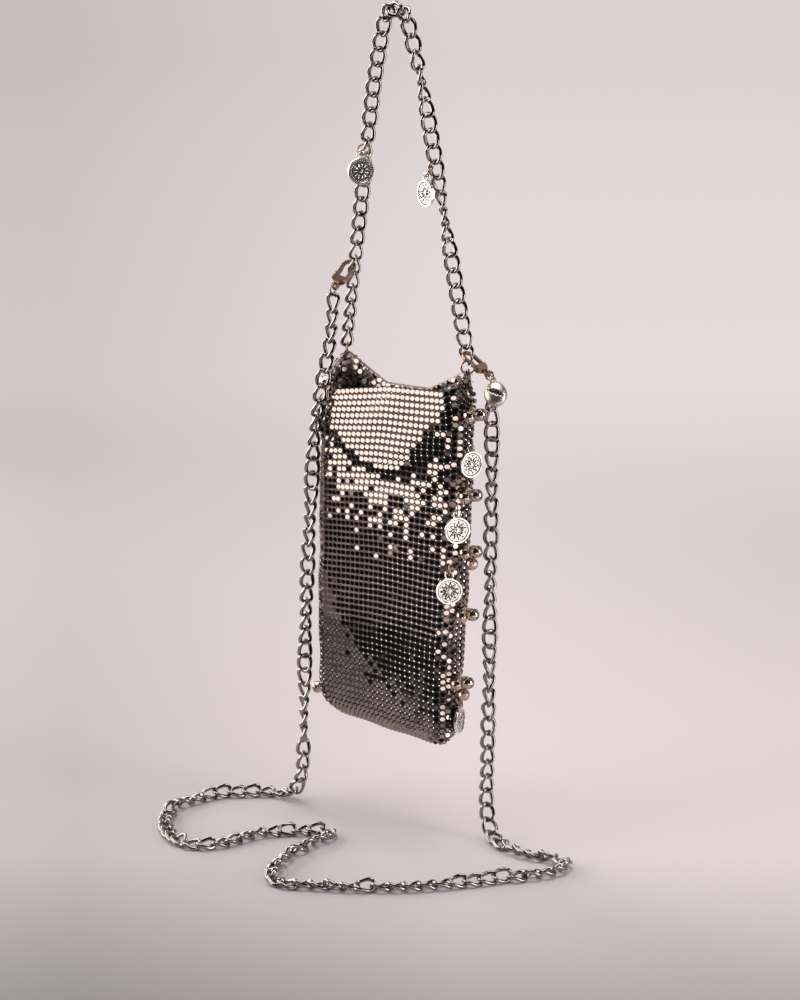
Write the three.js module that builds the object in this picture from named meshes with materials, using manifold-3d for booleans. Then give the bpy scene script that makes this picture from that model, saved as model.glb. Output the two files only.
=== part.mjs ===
// Chain sling bag: a phone-size pouch of metal disc mesh on a short chain handle, with a long
// chain strap on two lobster clasps, coin charms, bunches of bells and a cowrie charm.
// Millimetres, +Z up. The origin is the point where the handle hangs; the front faces -Y.
import * as THREE from "three";
import { mergeVertices } from "three/addons/utils/BufferGeometryUtils.js";
import Module from "manifold-3d";

// Clearance between pieces that touch on the real bag
const GAP = 0.3;

// Pouch
const MESH_WALL = 1.8;
const CORNER_RADIUS = 7;
const LEAST_SIDE = 1;
const RIM_LEVEL = -215;
const EAR_HEIGHT = -204;
const EAR_EDGE = 3.2;
const FRONT_STEPS = 6;
const CORNER_STEPS = 2;
const SIDE_STEPS = 2;
const FOOT_TILT = -3.5;
const FOOT_TILT_REACH = 45;

// Height of the rim on its way round, from the front left corner to the front right corner
const RIM_STATIONS = [
  { face: "front", along: 0, height: -224 },
  { face: "front", along: 0.5, height: -217 },
  { face: "front", along: 1, height: -215 },
  { face: "right corner", along: 0.5, height: EAR_HEIGHT },
  { face: "back", along: 0.3, height: -219.5 },
  { face: "back", along: 0.7, height: -220 },
  { face: "left corner", along: 0.5, height: EAR_HEIGHT },
];

// Sections of the pouch from the rim down. follow is how far a section repeats the rim's outline,
// sag its extra drop and bulge its extra depth at the middle of the front, tilt its share of the foot's tilt.
const SECTION_COLUMNS = ["name", "level", "follow", "sag", "left", "right", "front", "back", "bulge", "tilt"];
const POUCH_SECTIONS = [
  ["rim", -215, 1, 0, -46, 47.5, -9.5, 11.5, 0, 0],
  ["cowl", -231, 0.5, 6, -48.5, 51, -11, 11.5, 3.5, 0],
  ["swag", -241, 0.2, 20, -50, 51, -11.5, 11.5, 6.5, 0],
  ["tuck", -247, 0.1, 20, -50.5, 50.5, -11.5, 11.5, 3.5, 0],
  ["fold", -263, 0, 17, -51, 50, -11.5, 11.5, 5, 0],
  ["middle", -320, 0, 0, -51.5, 47.5, -12, 12, 2.5, 0],
  ["lower", -384, 0, 0, -52, 43.5, -12, 12, 1, 0],
  ["base", -418, 0, 0, -50.5, 41.5, -10, 10, 0.5, 1],
  ["foot", -426, 0, 0, -44.5, 36.5, -4, 4, 0, 1],
].map((row) => Object.fromEntries(row.map((value, column) => [SECTION_COLUMNS[column], value])));

// Curb chain
const LINK_LENGTH = 12.6;
const LINK_WIDTH = 9.6;
const LINK_WIRE = 2;
const LINK_SIDES = 10;
const WIRE_SIDES = 5;
const RING_WIRE_SIDES = 4;
const LINK_TWIST = Math.PI / 2;
const LINK_BITE = 1.75;
const LINK_PITCH = LINK_LENGTH - LINK_WIRE - LINK_BITE;

// Handle
const HANG_DROP = (LINK_WIDTH - LINK_WIRE) / 2 - LINK_WIRE / 2;
const SHOULDER_SPREAD = THREE.MathUtils.degToRad(51);
const LEG_LINKS = 22;
const LEFT_CLASP_LINK = LEG_LINKS - 5;
const RIGHT_CLASP_LINK = LEG_LINKS;
const LEFT_COIN_LINK = 9;
const RIGHT_COIN_LINK = 10;

// Rings
const EAR_RING = { diameter: 8.8, wire: 1.2 };
const STRAP_RING = { diameter: 6.6, wire: 1 };
const CHARM_RING = { diameter: 8, wire: 1 };

// Lobster clasp, in its own plane: across, up towards the hook, and through its thickness
const CLASP = {
  hookCentre: 7.5,
  hookOuter: 4.8,
  hookInner: 3.1,
  hookThickness: 1.8,
  baseThickness: 3.4,
  baseHalfWidth: 4.6,
  baseDepth: 4.6,
  eyeCentre: -6.6,
  eyeOuter: 2.6,
  eyeInner: 1.5,
  pivot: new THREE.Vector2(3.4, -1.8),
  pinRadius: 0.55,
  leverRoot: 1.5,
  leverThickness: 1.4,
  leverWidth: 1.9,
  slotReach: 3.2,
  spineRoot: 1,
  leverInset: 0.1,
  nubCentre: 1.8,
  nubReach: 0.9,
  arcSteps: 8,
  wireAcross: -1.2,
  wireUp: 6.8,
  wireSlide: 1.8,
};

// Coin, bell and cowrie
const COIN = {
  radius: 7.75, field: 0.5, rim: 0.9, rimWidth: 1, boss: 2.2, sides: 10, eye: 2.7, eyeHole: 1.8,
};
const COIN_EYE = COIN.radius + 1.4;
const COIN_EYE_DROP = 0.2;
const BELL = { radius: 3.75, stem: 0.55, sides: 10 };
const COWRIE = { length: 15, width: 13, depth: 7.5, slit: 1.2, grooveShare: 0.42, bail: 5, wire: 1, turn: 38 };
const COWRIE_FALL = new THREE.Vector3(0.45, -0.35, -0.82).normalize();

// Azimuth of each face that carries charms, in degrees from +X
const FACE_AZIMUTH = { "right": 0, "right front corner": -45, "left": 180 };

// Coins on the side seams: height of the ring and turn of the coin about its hanging line
const WALL_COINS = [
  { name: "right_1", face: "right", along: 0.5, height: -245.5, turn: -16 },
  { name: "right_2", face: "right front corner", along: 0.8, height: -283, turn: 14 },
  { name: "right_3", face: "right front corner", along: 0.5, height: -319, turn: 0 },
  { name: "right_4", face: "right", along: 0.65, height: -401, turn: 16 },
  { name: "left", face: "left", along: 1, height: -232, turn: 0 },
];

// Places of the bells in a bunch: out of the wall, along it and below the ring's middle
const BELL_PLACES = [
  { name: "front", out: 4.5, along: 4, drop: 7 },
  { name: "back", out: 4.4, along: -4.1, drop: 7.6 },
  { name: "outer", out: 10.4, along: 1.2, drop: 5.6 },
  { name: "low", out: 6.8, along: 0.6, drop: 13.5 },
];
const WALL_BELLS = [
  { name: "right_1", face: "right", along: 0.45, height: -221.5, bells: ["front", "back", "outer"] },
  { name: "right_2", face: "right", along: 0.15, height: -268, bells: ["front", "back", "outer"] },
  { name: "right_3", face: "right", along: 0.4, height: -302, bells: ["front", "back", "outer", "low"] },
  { name: "right_4", face: "right", along: 0.4, height: -340, bells: ["front", "back", "outer"] },
  { name: "right_5", face: "right", along: 0.3, height: -381.5, bells: ["front", "back", "outer", "low"] },
  { name: "left_1", face: "left", along: 0.1, height: -216, bells: ["front", "back"] },
  { name: "left_2", face: "left", along: 0.5, height: -404, bells: ["front", "back"] },
];

// Coins and clasps on the handle: the side of the link they hang on, and the azimuth a coin faces
const LEFT_COIN = { side: new THREE.Vector3(0.2, -0.98, 0), azimuth: -34 };
const RIGHT_COIN = { side: new THREE.Vector3(-0.93, -0.36, 0), azimuth: -110 };
const HANDLE_RING_SHIFT = 0.9;
const LEFT_CLASP = { side: new THREE.Vector3(0, -1, 0), lean: THREE.MathUtils.degToRad(48) };
const RIGHT_CLASP = { side: new THREE.Vector3(1, 0, 0), lean: THREE.MathUtils.degToRad(48) };

// Strap: a tube in the room of the chain, down the left side, over the floor and up the right side
const STRAP_DIAMETER = 8;
const STRAP_SIDES = 8;
const STRAP_STEPS = 36;
const FLOOR = -484;
const STRAP_REST = FLOOR + STRAP_DIAMETER / 2;
const LEFT_DROP = [
  [-39.6, -8.2, -169], [-40.5, -10.5, -196], [-43.5, -14.5, -222], [-47.5, -16.8, -252], [-50, -17, -285],
  [-55, -15, -335],
  [-59, -13, -385], [-61, -12.5, -435], [-62, -13, -464], [-68, -13, -477],
];
const LEFT_FLOOR = [
  [-83, -13], [-96, -24], [-108, -35], [-113, -48], [-115, -63], [-110, -80], [-98, -97], [-82, -109],
  [-68, -113], [-57, -108], [-50, -94], [-47, -78], [-40, -66], [-30, -59], [-22, -49], [-13, -46], [-9, -54],
  [-10, -68], [-9, -86], [-4, -106], [3, -120], [12, -127], [22, -125], [33, -118], [48, -111],
];
const RIGHT_FLOOR = [
  [74, -91], [87, -77], [96, -66], [104, -55], [112, -44], [119, -35], [126, -24], [129, -13], [126, -4],
  [117, -2], [105, -6], [92, -6], [79, -3],
];
const RIGHT_DROP = [
  [67, 4, -478], [61, 8, -468], [60, 9.5, -440], [60.5, 10, -390], [60.5, 10.5, -330], [60.5, 11, -275],
  [59.5, 12.2, -240], [59, 12.2, -208.7],
];

const MATERIALS = {
  mesh: { color: 0x77706c, roughness: 0.25, metalness: 1 },
  chain: { color: 0x8a8580, roughness: 0.22, metalness: 1 },
  coin: { color: 0xd8d2c4, roughness: 0.28, metalness: 1 },
  bell: { color: 0x9a7c62, roughness: 0.25, metalness: 1 },
  gold: { color: 0xd3b892, roughness: 0.25, metalness: 1 },
};

const wasm = await Module();
wasm.setup();

const bag = new THREE.Group();
const up = new THREE.Vector3(0, 0, 1);

// A closed solid from a geometry, for joining and cutting
function solid(geometry, placement = new THREE.Matrix4()) {
  const bare = geometry.clone().applyMatrix4(placement);
  bare.deleteAttribute("normal");
  bare.deleteAttribute("uv");
  const merged = mergeVertices(bare, 1e-4);
  return new wasm.Manifold(new wasm.Mesh({
    numProp: 3,
    vertProperties: new Float32Array(merged.attributes.position.array),
    triVerts: new Uint32Array(merged.index.array),
  }));
}

function fromSolid(body) {
  const mesh = body.getMesh();
  const geometry = new THREE.BufferGeometry();
  geometry.setAttribute("position", new THREE.BufferAttribute(mesh.vertProperties, 3));
  geometry.setIndex(new THREE.BufferAttribute(mesh.triVerts, 1));
  geometry.computeVertexNormals();
  return geometry;
}

function fuse(bodies) {
  return fromSolid(bodies.reduce((whole, body) => whole.add(body)));
}

function addPiece(name, geometry, look, placement = new THREE.Matrix4()) {
  const mesh = new THREE.Mesh(geometry, new THREE.MeshStandardMaterial(MATERIALS[look]));
  mesh.name = name;
  mesh.applyMatrix4(placement);
  bag.add(mesh);
  return mesh;
}

// Placement with the given x and y directions, made square, at a point
function placeAt(point, along, across) {
  const x = along.clone().normalize();
  const y = across.clone().addScaledVector(x, -across.dot(x)).normalize();
  const z = x.clone().cross(y);
  return new THREE.Matrix4().makeBasis(x, y, z).setPosition(point);
}

// Oval of wire with its long way on x; twisted end to end for a curb link, flat for a ring
function wireLoop(length, width, wire, twist, wireSides = WIRE_SIDES) {
  const stretch = Math.cos(Math.PI / LINK_SIDES);
  const half = (length - wire) / 2 / stretch;
  const side = (width - wire) / 2 / stretch;
  const points = [];
  const faces = [];
  for (let step = 0; step < LINK_SIDES; step += 1) {
    const turn = (step + 0.5) * 2 * Math.PI / LINK_SIDES;
    const outward = new THREE.Vector2(Math.cos(turn) / half, Math.sin(turn) / side).normalize();
    for (let corner = 0; corner < wireSides; corner += 1) {
      const roll = corner * 2 * Math.PI / wireSides;
      const reach = -Math.cos(roll) * wire / 2;
      const x = half * Math.cos(turn) + outward.x * reach;
      const y = side * Math.sin(turn) + outward.y * reach;
      const z = Math.sin(roll) * wire / 2;
      const angle = twist * x / length;
      points.push(x, y * Math.cos(angle) - z * Math.sin(angle), y * Math.sin(angle) + z * Math.cos(angle));
      const next = (corner + 1) % wireSides;
      const here = step * wireSides;
      const ahead = ((step + 1) % LINK_SIDES) * wireSides;
      faces.push(here + corner, here + next, ahead + corner, here + next, ahead + next, ahead + corner);
    }
  }
  const geometry = new THREE.BufferGeometry();
  geometry.setAttribute("position", new THREE.Float32BufferAttribute(points, 3));
  geometry.setIndex(faces);
  geometry.computeVertexNormals();
  return geometry;
}

function ringShape(ring) {
  return wireLoop(ring.diameter, ring.diameter, ring.wire, 0, RING_WIRE_SIDES);
}

// Cutter that leaves the clearance round a ring where it passes through the mesh
function ringCutter(ring, placement) {
  const wire = (ring.wire + 2 * GAP) * Math.SQRT2;
  const across = ring.diameter + wire - ring.wire;
  return solid(wireLoop(across, across, wire, 0, 4), placement);
}

// Pouch outline: rounded rectangle from the front left corner, by way of the right side
function outlineStations() {
  const stations = [];
  const walk = (face, steps) => {
    for (let step = 0; step < steps; step += 1) {
      stations.push({ face, along: step / steps });
    }
  };
  walk("front", FRONT_STEPS);
  walk("right front corner", CORNER_STEPS);
  walk("right", SIDE_STEPS);
  walk("right corner", CORNER_STEPS);
  walk("back", FRONT_STEPS);
  walk("left corner", CORNER_STEPS);
  walk("left", SIDE_STEPS);
  walk("left front corner", CORNER_STEPS);
  return stations;
}

function outlinePoint(section, station, inset) {
  const radius = CORNER_RADIUS - inset;
  const left = section.left + CORNER_RADIUS;
  const right = section.right - CORNER_RADIUS;
  const depth = Math.min(CORNER_RADIUS, (section.back - section.front) / 2 - LEAST_SIDE / 2);
  const squash = depth / CORNER_RADIUS;
  const front = section.front + depth;
  const back = section.back - depth;
  const mix = THREE.MathUtils.lerp;
  const corner = (x, y, start) => {
    const angle = start + station.along * Math.PI / 2;
    return new THREE.Vector2(x + Math.cos(angle) * radius, y + Math.sin(angle) * radius * squash);
  };
  switch (station.face) {
    case "front": return new THREE.Vector2(mix(left, right, station.along), section.front + inset * squash);
    case "right front corner": return corner(right, front, -Math.PI / 2);
    case "right": return new THREE.Vector2(section.right - inset, mix(front, back, station.along));
    case "right corner": return corner(right, back, 0);
    case "back": return new THREE.Vector2(mix(right, left, station.along), section.back - inset * squash);
    case "left corner": return corner(left, back, Math.PI / 2);
    case "left": return new THREE.Vector2(section.left + inset, mix(back, front, station.along));
    default: return corner(left, front, Math.PI);
  }
}

// Way round the outline as one number, so that the rim's heights can be read between stations
const RIM_FACES = [
  { face: "front", length: 86 },
  { face: "right front corner", length: 11 },
  { face: "right", length: 9 },
  { face: "right corner", length: 11 },
  { face: "back", length: 86 },
  { face: "left corner", length: 11 },
  { face: "left", length: 9 },
  { face: "left front corner", length: 11 },
];
const OUTLINE_LENGTH = RIM_FACES.reduce((sum, { length }) => sum + length, 0);

function wayRound(station) {
  const index = RIM_FACES.findIndex(({ face }) => face === station.face);
  const before = RIM_FACES.slice(0, index).reduce((sum, { length }) => sum + length, 0);
  return before + station.along * RIM_FACES[index].length;
}

function rimHeight(station) {
  const way = wayRound(station);
  const marks = RIM_STATIONS.map((mark) => ({ way: wayRound(mark), height: mark.height }));
  marks.push({ way: OUTLINE_LENGTH, height: RIM_STATIONS[0].height });
  const next = marks.findIndex((mark) => mark.way > way);
  const from = marks[next - 1];
  const to = marks[next];
  return THREE.MathUtils.mapLinear(way, from.way, to.way, from.height, to.height);
}

function swagShape(station) {
  return station.face === "front" ? 1 - (2 * station.along - 1) ** 2 : 0;
}

function pouchPoint(section, station, inset) {
  const flat = outlinePoint(section, station, inset);
  const swag = swagShape(station);
  const footLift = section.name === "foot" ? inset : 0;
  const tilt = section.tilt * FOOT_TILT * flat.x / FOOT_TILT_REACH;
  const height = section.level + section.follow * (rimHeight(station) - RIM_LEVEL) - section.sag * swag;
  return new THREE.Vector3(flat.x, flat.y - section.bulge * swag, height + tilt + footLift);
}

function makePouchShell() {
  const stations = outlineStations();
  const count = stations.length;
  const points = [];
  const faces = [];
  for (const inset of [0, MESH_WALL]) {
    for (const section of POUCH_SECTIONS) {
      for (const station of stations) {
        points.push(...pouchPoint(section, station, inset).toArray());
      }
    }
  }
  const rows = POUCH_SECTIONS.length;
  const inner = rows * count;
  const quad = (a, b, c, d) => faces.push(a, b, c, a, c, d);
  for (let column = 0; column < count; column += 1) {
    const next = (column + 1) % count;
    for (let row = 0; row < rows - 1; row += 1) {
      const top = row * count;
      const low = top + count;
      quad(low + column, low + next, top + next, top + column);
      quad(inner + top + column, inner + top + next, inner + low + next, inner + low + column);
    }
    quad(column, next, inner + next, inner + column);
  }
  const foot = POUCH_SECTIONS[rows - 1];
  const footMiddle = (foot.left + foot.right) / 2;
  const footHeight = foot.level + FOOT_TILT * footMiddle / FOOT_TILT_REACH;
  points.push(footMiddle, 0, footHeight, footMiddle, 0, footHeight + MESH_WALL);
  const footPoint = 2 * inner;
  for (let column = 0; column < count; column += 1) {
    const next = (column + 1) % count;
    const last = (rows - 1) * count;
    faces.push(last + next, last + column, footPoint);
    faces.push(inner + last + column, inner + last + next, footPoint + 1);
  }
  const geometry = new THREE.BufferGeometry();
  geometry.setAttribute("position", new THREE.Float32BufferAttribute(points, 3));
  geometry.setIndex(faces);
  return geometry;
}

// Ears: tip of the mesh, middle of its wall there and the way the wall faces
function earFrame(side) {
  const station = { face: side > 0 ? "right corner" : "left corner", along: 0.5 };
  const tip = pouchPoint(POUCH_SECTIONS[0], station, MESH_WALL / 2);
  const facing = new THREE.Vector3(side, 1, 0).normalize();
  return { tip, facing };
}

function earRingPlacement(side) {
  const ear = earFrame(side);
  const reach = (EAR_RING.diameter - EAR_RING.wire) / 2;
  const centre = ear.tip.clone().addScaledVector(up, reach - EAR_EDGE);
  return placeAt(centre, ear.facing, up);
}

// Handle: the joints between links on one leg, from the middle link down to the ear ring
function legJoints(side) {
  const ear = earFrame(side);
  const reach = (EAR_RING.diameter - EAR_RING.wire) / 2;
  const top = new THREE.Vector3(side * LINK_PITCH / 2, 0, -HANG_DROP);
  const shoulder = top.clone().add(new THREE.Vector3(side * Math.sin(SHOULDER_SPREAD), 0,
    -Math.cos(SHOULDER_SPREAD)).multiplyScalar(LINK_PITCH));
  const ringTop = ear.tip.clone().addScaledVector(up, 2 * reach - EAR_EDGE);
  const leg = shoulder.clone().sub(ringTop).normalize();
  const bite = LINK_WIRE / 2 + GAP + EAR_RING.wire / 2 - LINK_BITE / 2;
  const end = ringTop.clone().addScaledVector(leg, -bite);
  const joints = [top, shoulder];
  for (let link = 1; link <= LEG_LINKS; link += 1) {
    joints.push(shoulder.clone().lerp(end, link / LEG_LINKS));
  }
  return joints;
}

// Frame of each leg link: middle, way along the chain, way across its flat and way through it.
// facings lists the links whose flat has to lie a given way; the rest turn evenly between them.
function legLinks(side, facings) {
  const joints = legJoints(side);
  const links = joints.slice(1).map((to, index) => {
    const from = joints[index];
    const run = to.clone().sub(from);
    const along = run.clone().normalize();
    const plain = new THREE.Vector3(0, 1, 0).cross(along).normalize();
    const square = new THREE.Vector3().crossVectors(along, plain);
    return { middle: from.clone().lerp(to, 0.5), along, plain, square, pitch: run.length() };
  });
  const turns = facings.map(({ link, across }) => {
    const { plain, square } = links[link];
    return { link, angle: Math.atan2(across.dot(square), across.dot(plain)) };
  });
  links.forEach((link, index) => {
    const next = Math.max(1, turns.findIndex((turn) => turn.link >= index));
    const from = turns[next - 1];
    const to = turns[next];
    const change = Math.atan(Math.tan(to.angle - from.angle));
    const angle = from.angle + change * (index - from.link) / (to.link - from.link);
    link.across = link.plain.clone().multiplyScalar(Math.cos(angle));
    link.across.addScaledVector(link.square, Math.sin(angle));
    link.through = new THREE.Vector3().crossVectors(link.along, link.across);
  });
  return links;
}

// The way across a link towards the named side
function sideOf(link, side) {
  return link.across.clone().multiplyScalar(Math.sign(link.across.dot(side)));
}

function linkSolid(link) {
  const length = link.pitch + LINK_BITE + LINK_WIRE;
  const loop = wireLoop(length, LINK_WIDTH, LINK_WIRE, LINK_TWIST);
  return solid(loop, placeAt(link.middle, link.along, link.across));
}

// Handle: each leg is one fused chain, and the middle link belongs to the right leg
function makeHandle() {
  const sideways = new THREE.Vector3(1, 0, 0);
  const lastLink = LEG_LINKS;
  const ringAcross = (side) => earFrame(side).facing.applyAxisAngle(up, Math.PI / 2 + LINK_TWIST / 2);
  const left = legLinks(-1, [
    { link: 0, across: up },
    { link: LEFT_COIN_LINK, across: LEFT_COIN.side },
    { link: LEFT_CLASP_LINK, across: LEFT_CLASP.side },
    { link: lastLink, across: ringAcross(-1) },
  ]);
  const right = legLinks(1, [
    { link: 0, across: up },
    { link: RIGHT_COIN_LINK, across: RIGHT_COIN.side },
    { link: lastLink, across: ringAcross(1) },
  ]);
  const centre = new THREE.Vector3(0, 0, -HANG_DROP);
  const middle = { middle: centre, along: sideways, across: up, pitch: LINK_PITCH };
  const loosening = LINK_WIRE + 3 * GAP - LINK_BITE;
  left[0].pitch += loosening;
  left[0].middle.addScaledVector(left[0].along, -loosening / 2);
  addPiece("handle_chain_left", fuse(left.map(linkSolid)), "chain");
  addPiece("handle_chain_right", fuse([middle, ...right].map(linkSolid)), "chain");
  return { left, right };
}

function addArc(shape, x, y, radius, from, to) {
  for (let step = 0; step <= CLASP.arcSteps; step += 1) {
    const angle = THREE.MathUtils.lerp(from, to, step / CLASP.arcSteps);
    shape.lineTo(x + Math.cos(angle) * radius, y + Math.sin(angle) * radius);
  }
}

function plate(shape, thickness) {
  const settings = { depth: thickness, bevelEnabled: false, curveSegments: 2 };
  const geometry = new THREE.ExtrudeGeometry(shape, settings);
  return geometry.translate(0, 0, -thickness / 2);
}

function roundPlate(x, y, radius, thickness, sides = CLASP.arcSteps) {
  const geometry = new THREE.CylinderGeometry(radius, radius, thickness, sides);
  return geometry.rotateX(Math.PI / 2).translate(x, y, 0);
}

// Lobster clasp: hook and base in one body, with a pin that carries the lever
function claspBody() {
  const hook = new THREE.Shape();
  hook.moveTo(CLASP.hookInner, CLASP.hookCentre);
  addArc(hook, 0, CLASP.hookCentre, CLASP.hookInner, 0, Math.PI);
  hook.lineTo(-CLASP.hookInner, -CLASP.spineRoot);
  hook.lineTo(-CLASP.baseHalfWidth, -CLASP.spineRoot);
  addArc(hook, 0, CLASP.hookCentre, CLASP.hookOuter, Math.PI, 0);
  const base = new THREE.Shape();
  base.moveTo(-CLASP.baseHalfWidth, 0);
  base.lineTo(-CLASP.baseHalfWidth * 0.8, -CLASP.baseDepth * 0.6);
  base.lineTo(-CLASP.eyeOuter * 0.8, -CLASP.baseDepth);
  base.lineTo(CLASP.eyeOuter * 0.8, -CLASP.baseDepth);
  base.lineTo(CLASP.baseHalfWidth, -CLASP.baseDepth * 0.7);
  base.lineTo(CLASP.baseHalfWidth, 0);
  const slotThickness = CLASP.leverThickness + 2 * GAP;
  const slotRadius = CLASP.leverRoot + GAP;
  const slotCorner = slotRadius / Math.cos(Math.PI / CLASP.arcSteps);
  const slot = roundPlate(CLASP.pivot.x, CLASP.pivot.y, slotCorner, slotThickness);
  const slotWidth = 2 * CLASP.baseHalfWidth;
  const slotMouth = new THREE.BoxGeometry(slotWidth, CLASP.baseDepth, slotThickness);
  const mouthMiddle = CLASP.pivot.x - CLASP.slotReach + slotWidth / 2;
  slotMouth.translate(mouthMiddle, CLASP.pivot.y + CLASP.baseDepth / 2, 0);
  const pin = roundPlate(CLASP.pivot.x, CLASP.pivot.y, CLASP.pinRadius, CLASP.baseThickness - GAP);
  const eye = roundPlate(0, CLASP.eyeCentre, CLASP.eyeOuter, CLASP.hookThickness);
  const eyeHole = roundPlate(0, CLASP.eyeCentre, CLASP.eyeInner, CLASP.baseThickness);
  return fromSolid(solid(plate(hook, CLASP.hookThickness))
    .add(solid(plate(base, CLASP.baseThickness)))
    .subtract(solid(slot))
    .subtract(solid(slotMouth))
    .add(solid(pin))
    .add(solid(eye))
    .subtract(solid(eyeHole)));
}

function claspLever() {
  const outer = CLASP.hookOuter - CLASP.leverInset;
  const inner = outer - CLASP.leverWidth;
  const top = CLASP.hookCentre - GAP;
  const shape = new THREE.Shape();
  shape.moveTo(inner, top);
  shape.lineTo(CLASP.pivot.x - CLASP.leverRoot, CLASP.pivot.y);
  addArc(shape, CLASP.pivot.x, CLASP.pivot.y, CLASP.leverRoot, Math.PI, 2 * Math.PI);
  shape.lineTo(outer, CLASP.nubCentre - CLASP.nubReach);
  shape.lineTo(outer + CLASP.nubReach, CLASP.nubCentre);
  shape.lineTo(outer, CLASP.nubCentre + CLASP.nubReach);
  shape.lineTo(outer, top);
  const hole = roundPlate(CLASP.pivot.x, CLASP.pivot.y, CLASP.pinRadius + GAP, CLASP.baseThickness);
  return fromSolid(solid(plate(shape, CLASP.leverThickness)).subtract(solid(hole)));
}

// A clasp hangs on one long side of a handle link and leans away from the chain
function claspPlacement(link, { side, lean }) {
  const outward = sideOf(link, side);
  const fall = link.along.clone().multiplyScalar(Math.cos(lean)).addScaledVector(outward, Math.sin(lean));
  const rise = fall.clone().negate();
  const through = new THREE.Vector3().crossVectors(link.along, outward);
  const twist = LINK_TWIST * CLASP.wireSlide / LINK_LENGTH;
  const reach = (LINK_WIDTH - LINK_WIRE) / 2;
  const wire = link.middle.clone().addScaledVector(link.along, CLASP.wireSlide)
    .addScaledVector(outward, reach * Math.cos(twist))
    .addScaledVector(through, reach * Math.sin(twist));
  const frame = placeAt(wire, through, rise);
  const shift = new THREE.Vector3(-CLASP.wireAcross, -CLASP.wireUp, 0);
  return frame.multiply(new THREE.Matrix4().makeTranslation(shift));
}

function makeClasp(name, placement) {
  addPiece(`${name}_body`, claspBody(), "gold", placement);
  addPiece(`${name}_lever`, claspLever(), "gold", placement);
  const eye = new THREE.Vector3(0, CLASP.eyeCentre, 0).applyMatrix4(placement);
  const fall = new THREE.Vector3(0, -1, 0).transformDirection(placement);
  const thickness = new THREE.Vector3(0, 0, 1).transformDirection(placement);
  const reach = (STRAP_RING.diameter - STRAP_RING.wire) / 2;
  const drop = reach - CLASP.eyeInner + STRAP_RING.wire / 2 + GAP;
  const ringCentre = eye.addScaledVector(fall, drop);
  const ringName = name.replace("clasp", "strap_ring");
  addPiece(ringName, ringShape(STRAP_RING), "gold", placeAt(ringCentre, fall, thickness));
  return { ringCentre, fall };
}

// Coin with a raised rim and boss and an eye at its top, facing z with the eye along y
function coinShape() {
  const { radius, field, rim, rimWidth, boss, sides } = COIN;
  const profile = [
    [0, -rim], [radius, -rim], [radius, rim], [radius - rimWidth, rim], [radius - rimWidth - field, field],
    [boss, field], [0, rim],
  ].map(([x, y]) => new THREE.Vector2(x, y));
  const disc = new THREE.LatheGeometry(profile, sides).rotateX(Math.PI / 2);
  const eye = roundPlate(0, COIN_EYE, COIN.eye, 2 * field);
  const hole = roundPlate(0, COIN_EYE, COIN.eyeHole, 4 * rim);
  return fromSolid(solid(disc).add(solid(eye)).subtract(solid(hole)));
}

function makeCoin(name, geometry, wirePoint, normal) {
  const centre = wirePoint.clone().addScaledVector(up, -COIN_EYE_DROP - COIN_EYE);
  addPiece(name, geometry, "coin", placeAt(centre, up.clone().cross(normal), up));
}

// Level direction at an azimuth in degrees from +X
function heading(azimuth) {
  return new THREE.Vector3(1, 0, 0).applyAxisAngle(up, THREE.MathUtils.degToRad(azimuth));
}

// Point on the outside of the pouch wall at a height, and the way the wall faces there
function wallPoint(charm) {
  const station = { face: charm.face, along: charm.along };
  const points = POUCH_SECTIONS.map((section) => pouchPoint(section, station, 0));
  const below = points.findIndex((point) => point.z < charm.height);
  const share = (charm.height - points[below].z) / (points[below - 1].z - points[below].z);
  const point = points[below].clone().lerp(points[below - 1], share);
  return { point, facing: heading(FACE_AZIMUTH[charm.face]) };
}

function wallRingPlacement(charm) {
  const { point, facing } = wallPoint(charm);
  const reach = (CHARM_RING.diameter - CHARM_RING.wire) / 2;
  const inset = MESH_WALL + GAP + CHARM_RING.wire / 2;
  return placeAt(point.addScaledVector(facing, reach - inset), facing, up);
}

// Lower outer point of a wall ring, where its charm hangs
function wallHook(placement) {
  const reach = (CHARM_RING.diameter - CHARM_RING.wire) / 2 * Math.SQRT1_2;
  return new THREE.Vector3(reach, -reach, 0).applyMatrix4(placement);
}

function makeWallCoin(charm, geometry) {
  const placement = wallRingPlacement(charm);
  const { facing } = wallPoint(charm);
  addPiece(`coin_ring_${charm.name}`, ringShape(CHARM_RING), "gold", placement);
  const normal = facing.applyAxisAngle(up, THREE.MathUtils.degToRad(charm.turn));
  makeCoin(`coin_${charm.name}`, geometry, wallHook(placement), normal);
  return ringCutter(CHARM_RING, placement);
}

function makeHandleCoin(name, geometry, link, { side, azimuth }) {
  const across = sideOf(link, side);
  const outward = across.clone().add(link.along).normalize();
  const reach = (CHARM_RING.diameter - CHARM_RING.wire) / 2;
  const wire = link.middle.clone().addScaledVector(across, (LINK_WIDTH - LINK_WIRE) / 2);
  const centre = wire.addScaledVector(outward, HANDLE_RING_SHIFT);
  addPiece(`coin_ring_${name}`, ringShape(CHARM_RING), "gold", placeAt(centre, outward, link.through));
  const normal = heading(azimuth);
  makeCoin(`coin_${name}`, geometry, centre.clone().addScaledVector(outward, reach), normal);
}

// Bunch of bells fused to the ring that carries them; x points out of the wall and y up
function bellSolid(hook, centre) {
  const { radius, stem, sides } = BELL;
  const run = hook.clone().sub(centre);
  const profile = [
    [0, -radius], [radius * 0.9, -radius * 0.5], [radius * 0.85, radius * 0.5], [stem, run.length()],
    [0, run.length()],
  ].map(([x, y]) => new THREE.Vector2(x, y));
  const bell = new THREE.LatheGeometry(profile, sides);
  const turn = new THREE.Quaternion().setFromUnitVectors(new THREE.Vector3(0, 1, 0), run.normalize());
  return solid(bell, new THREE.Matrix4().makeRotationFromQuaternion(turn).setPosition(centre));
}

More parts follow.
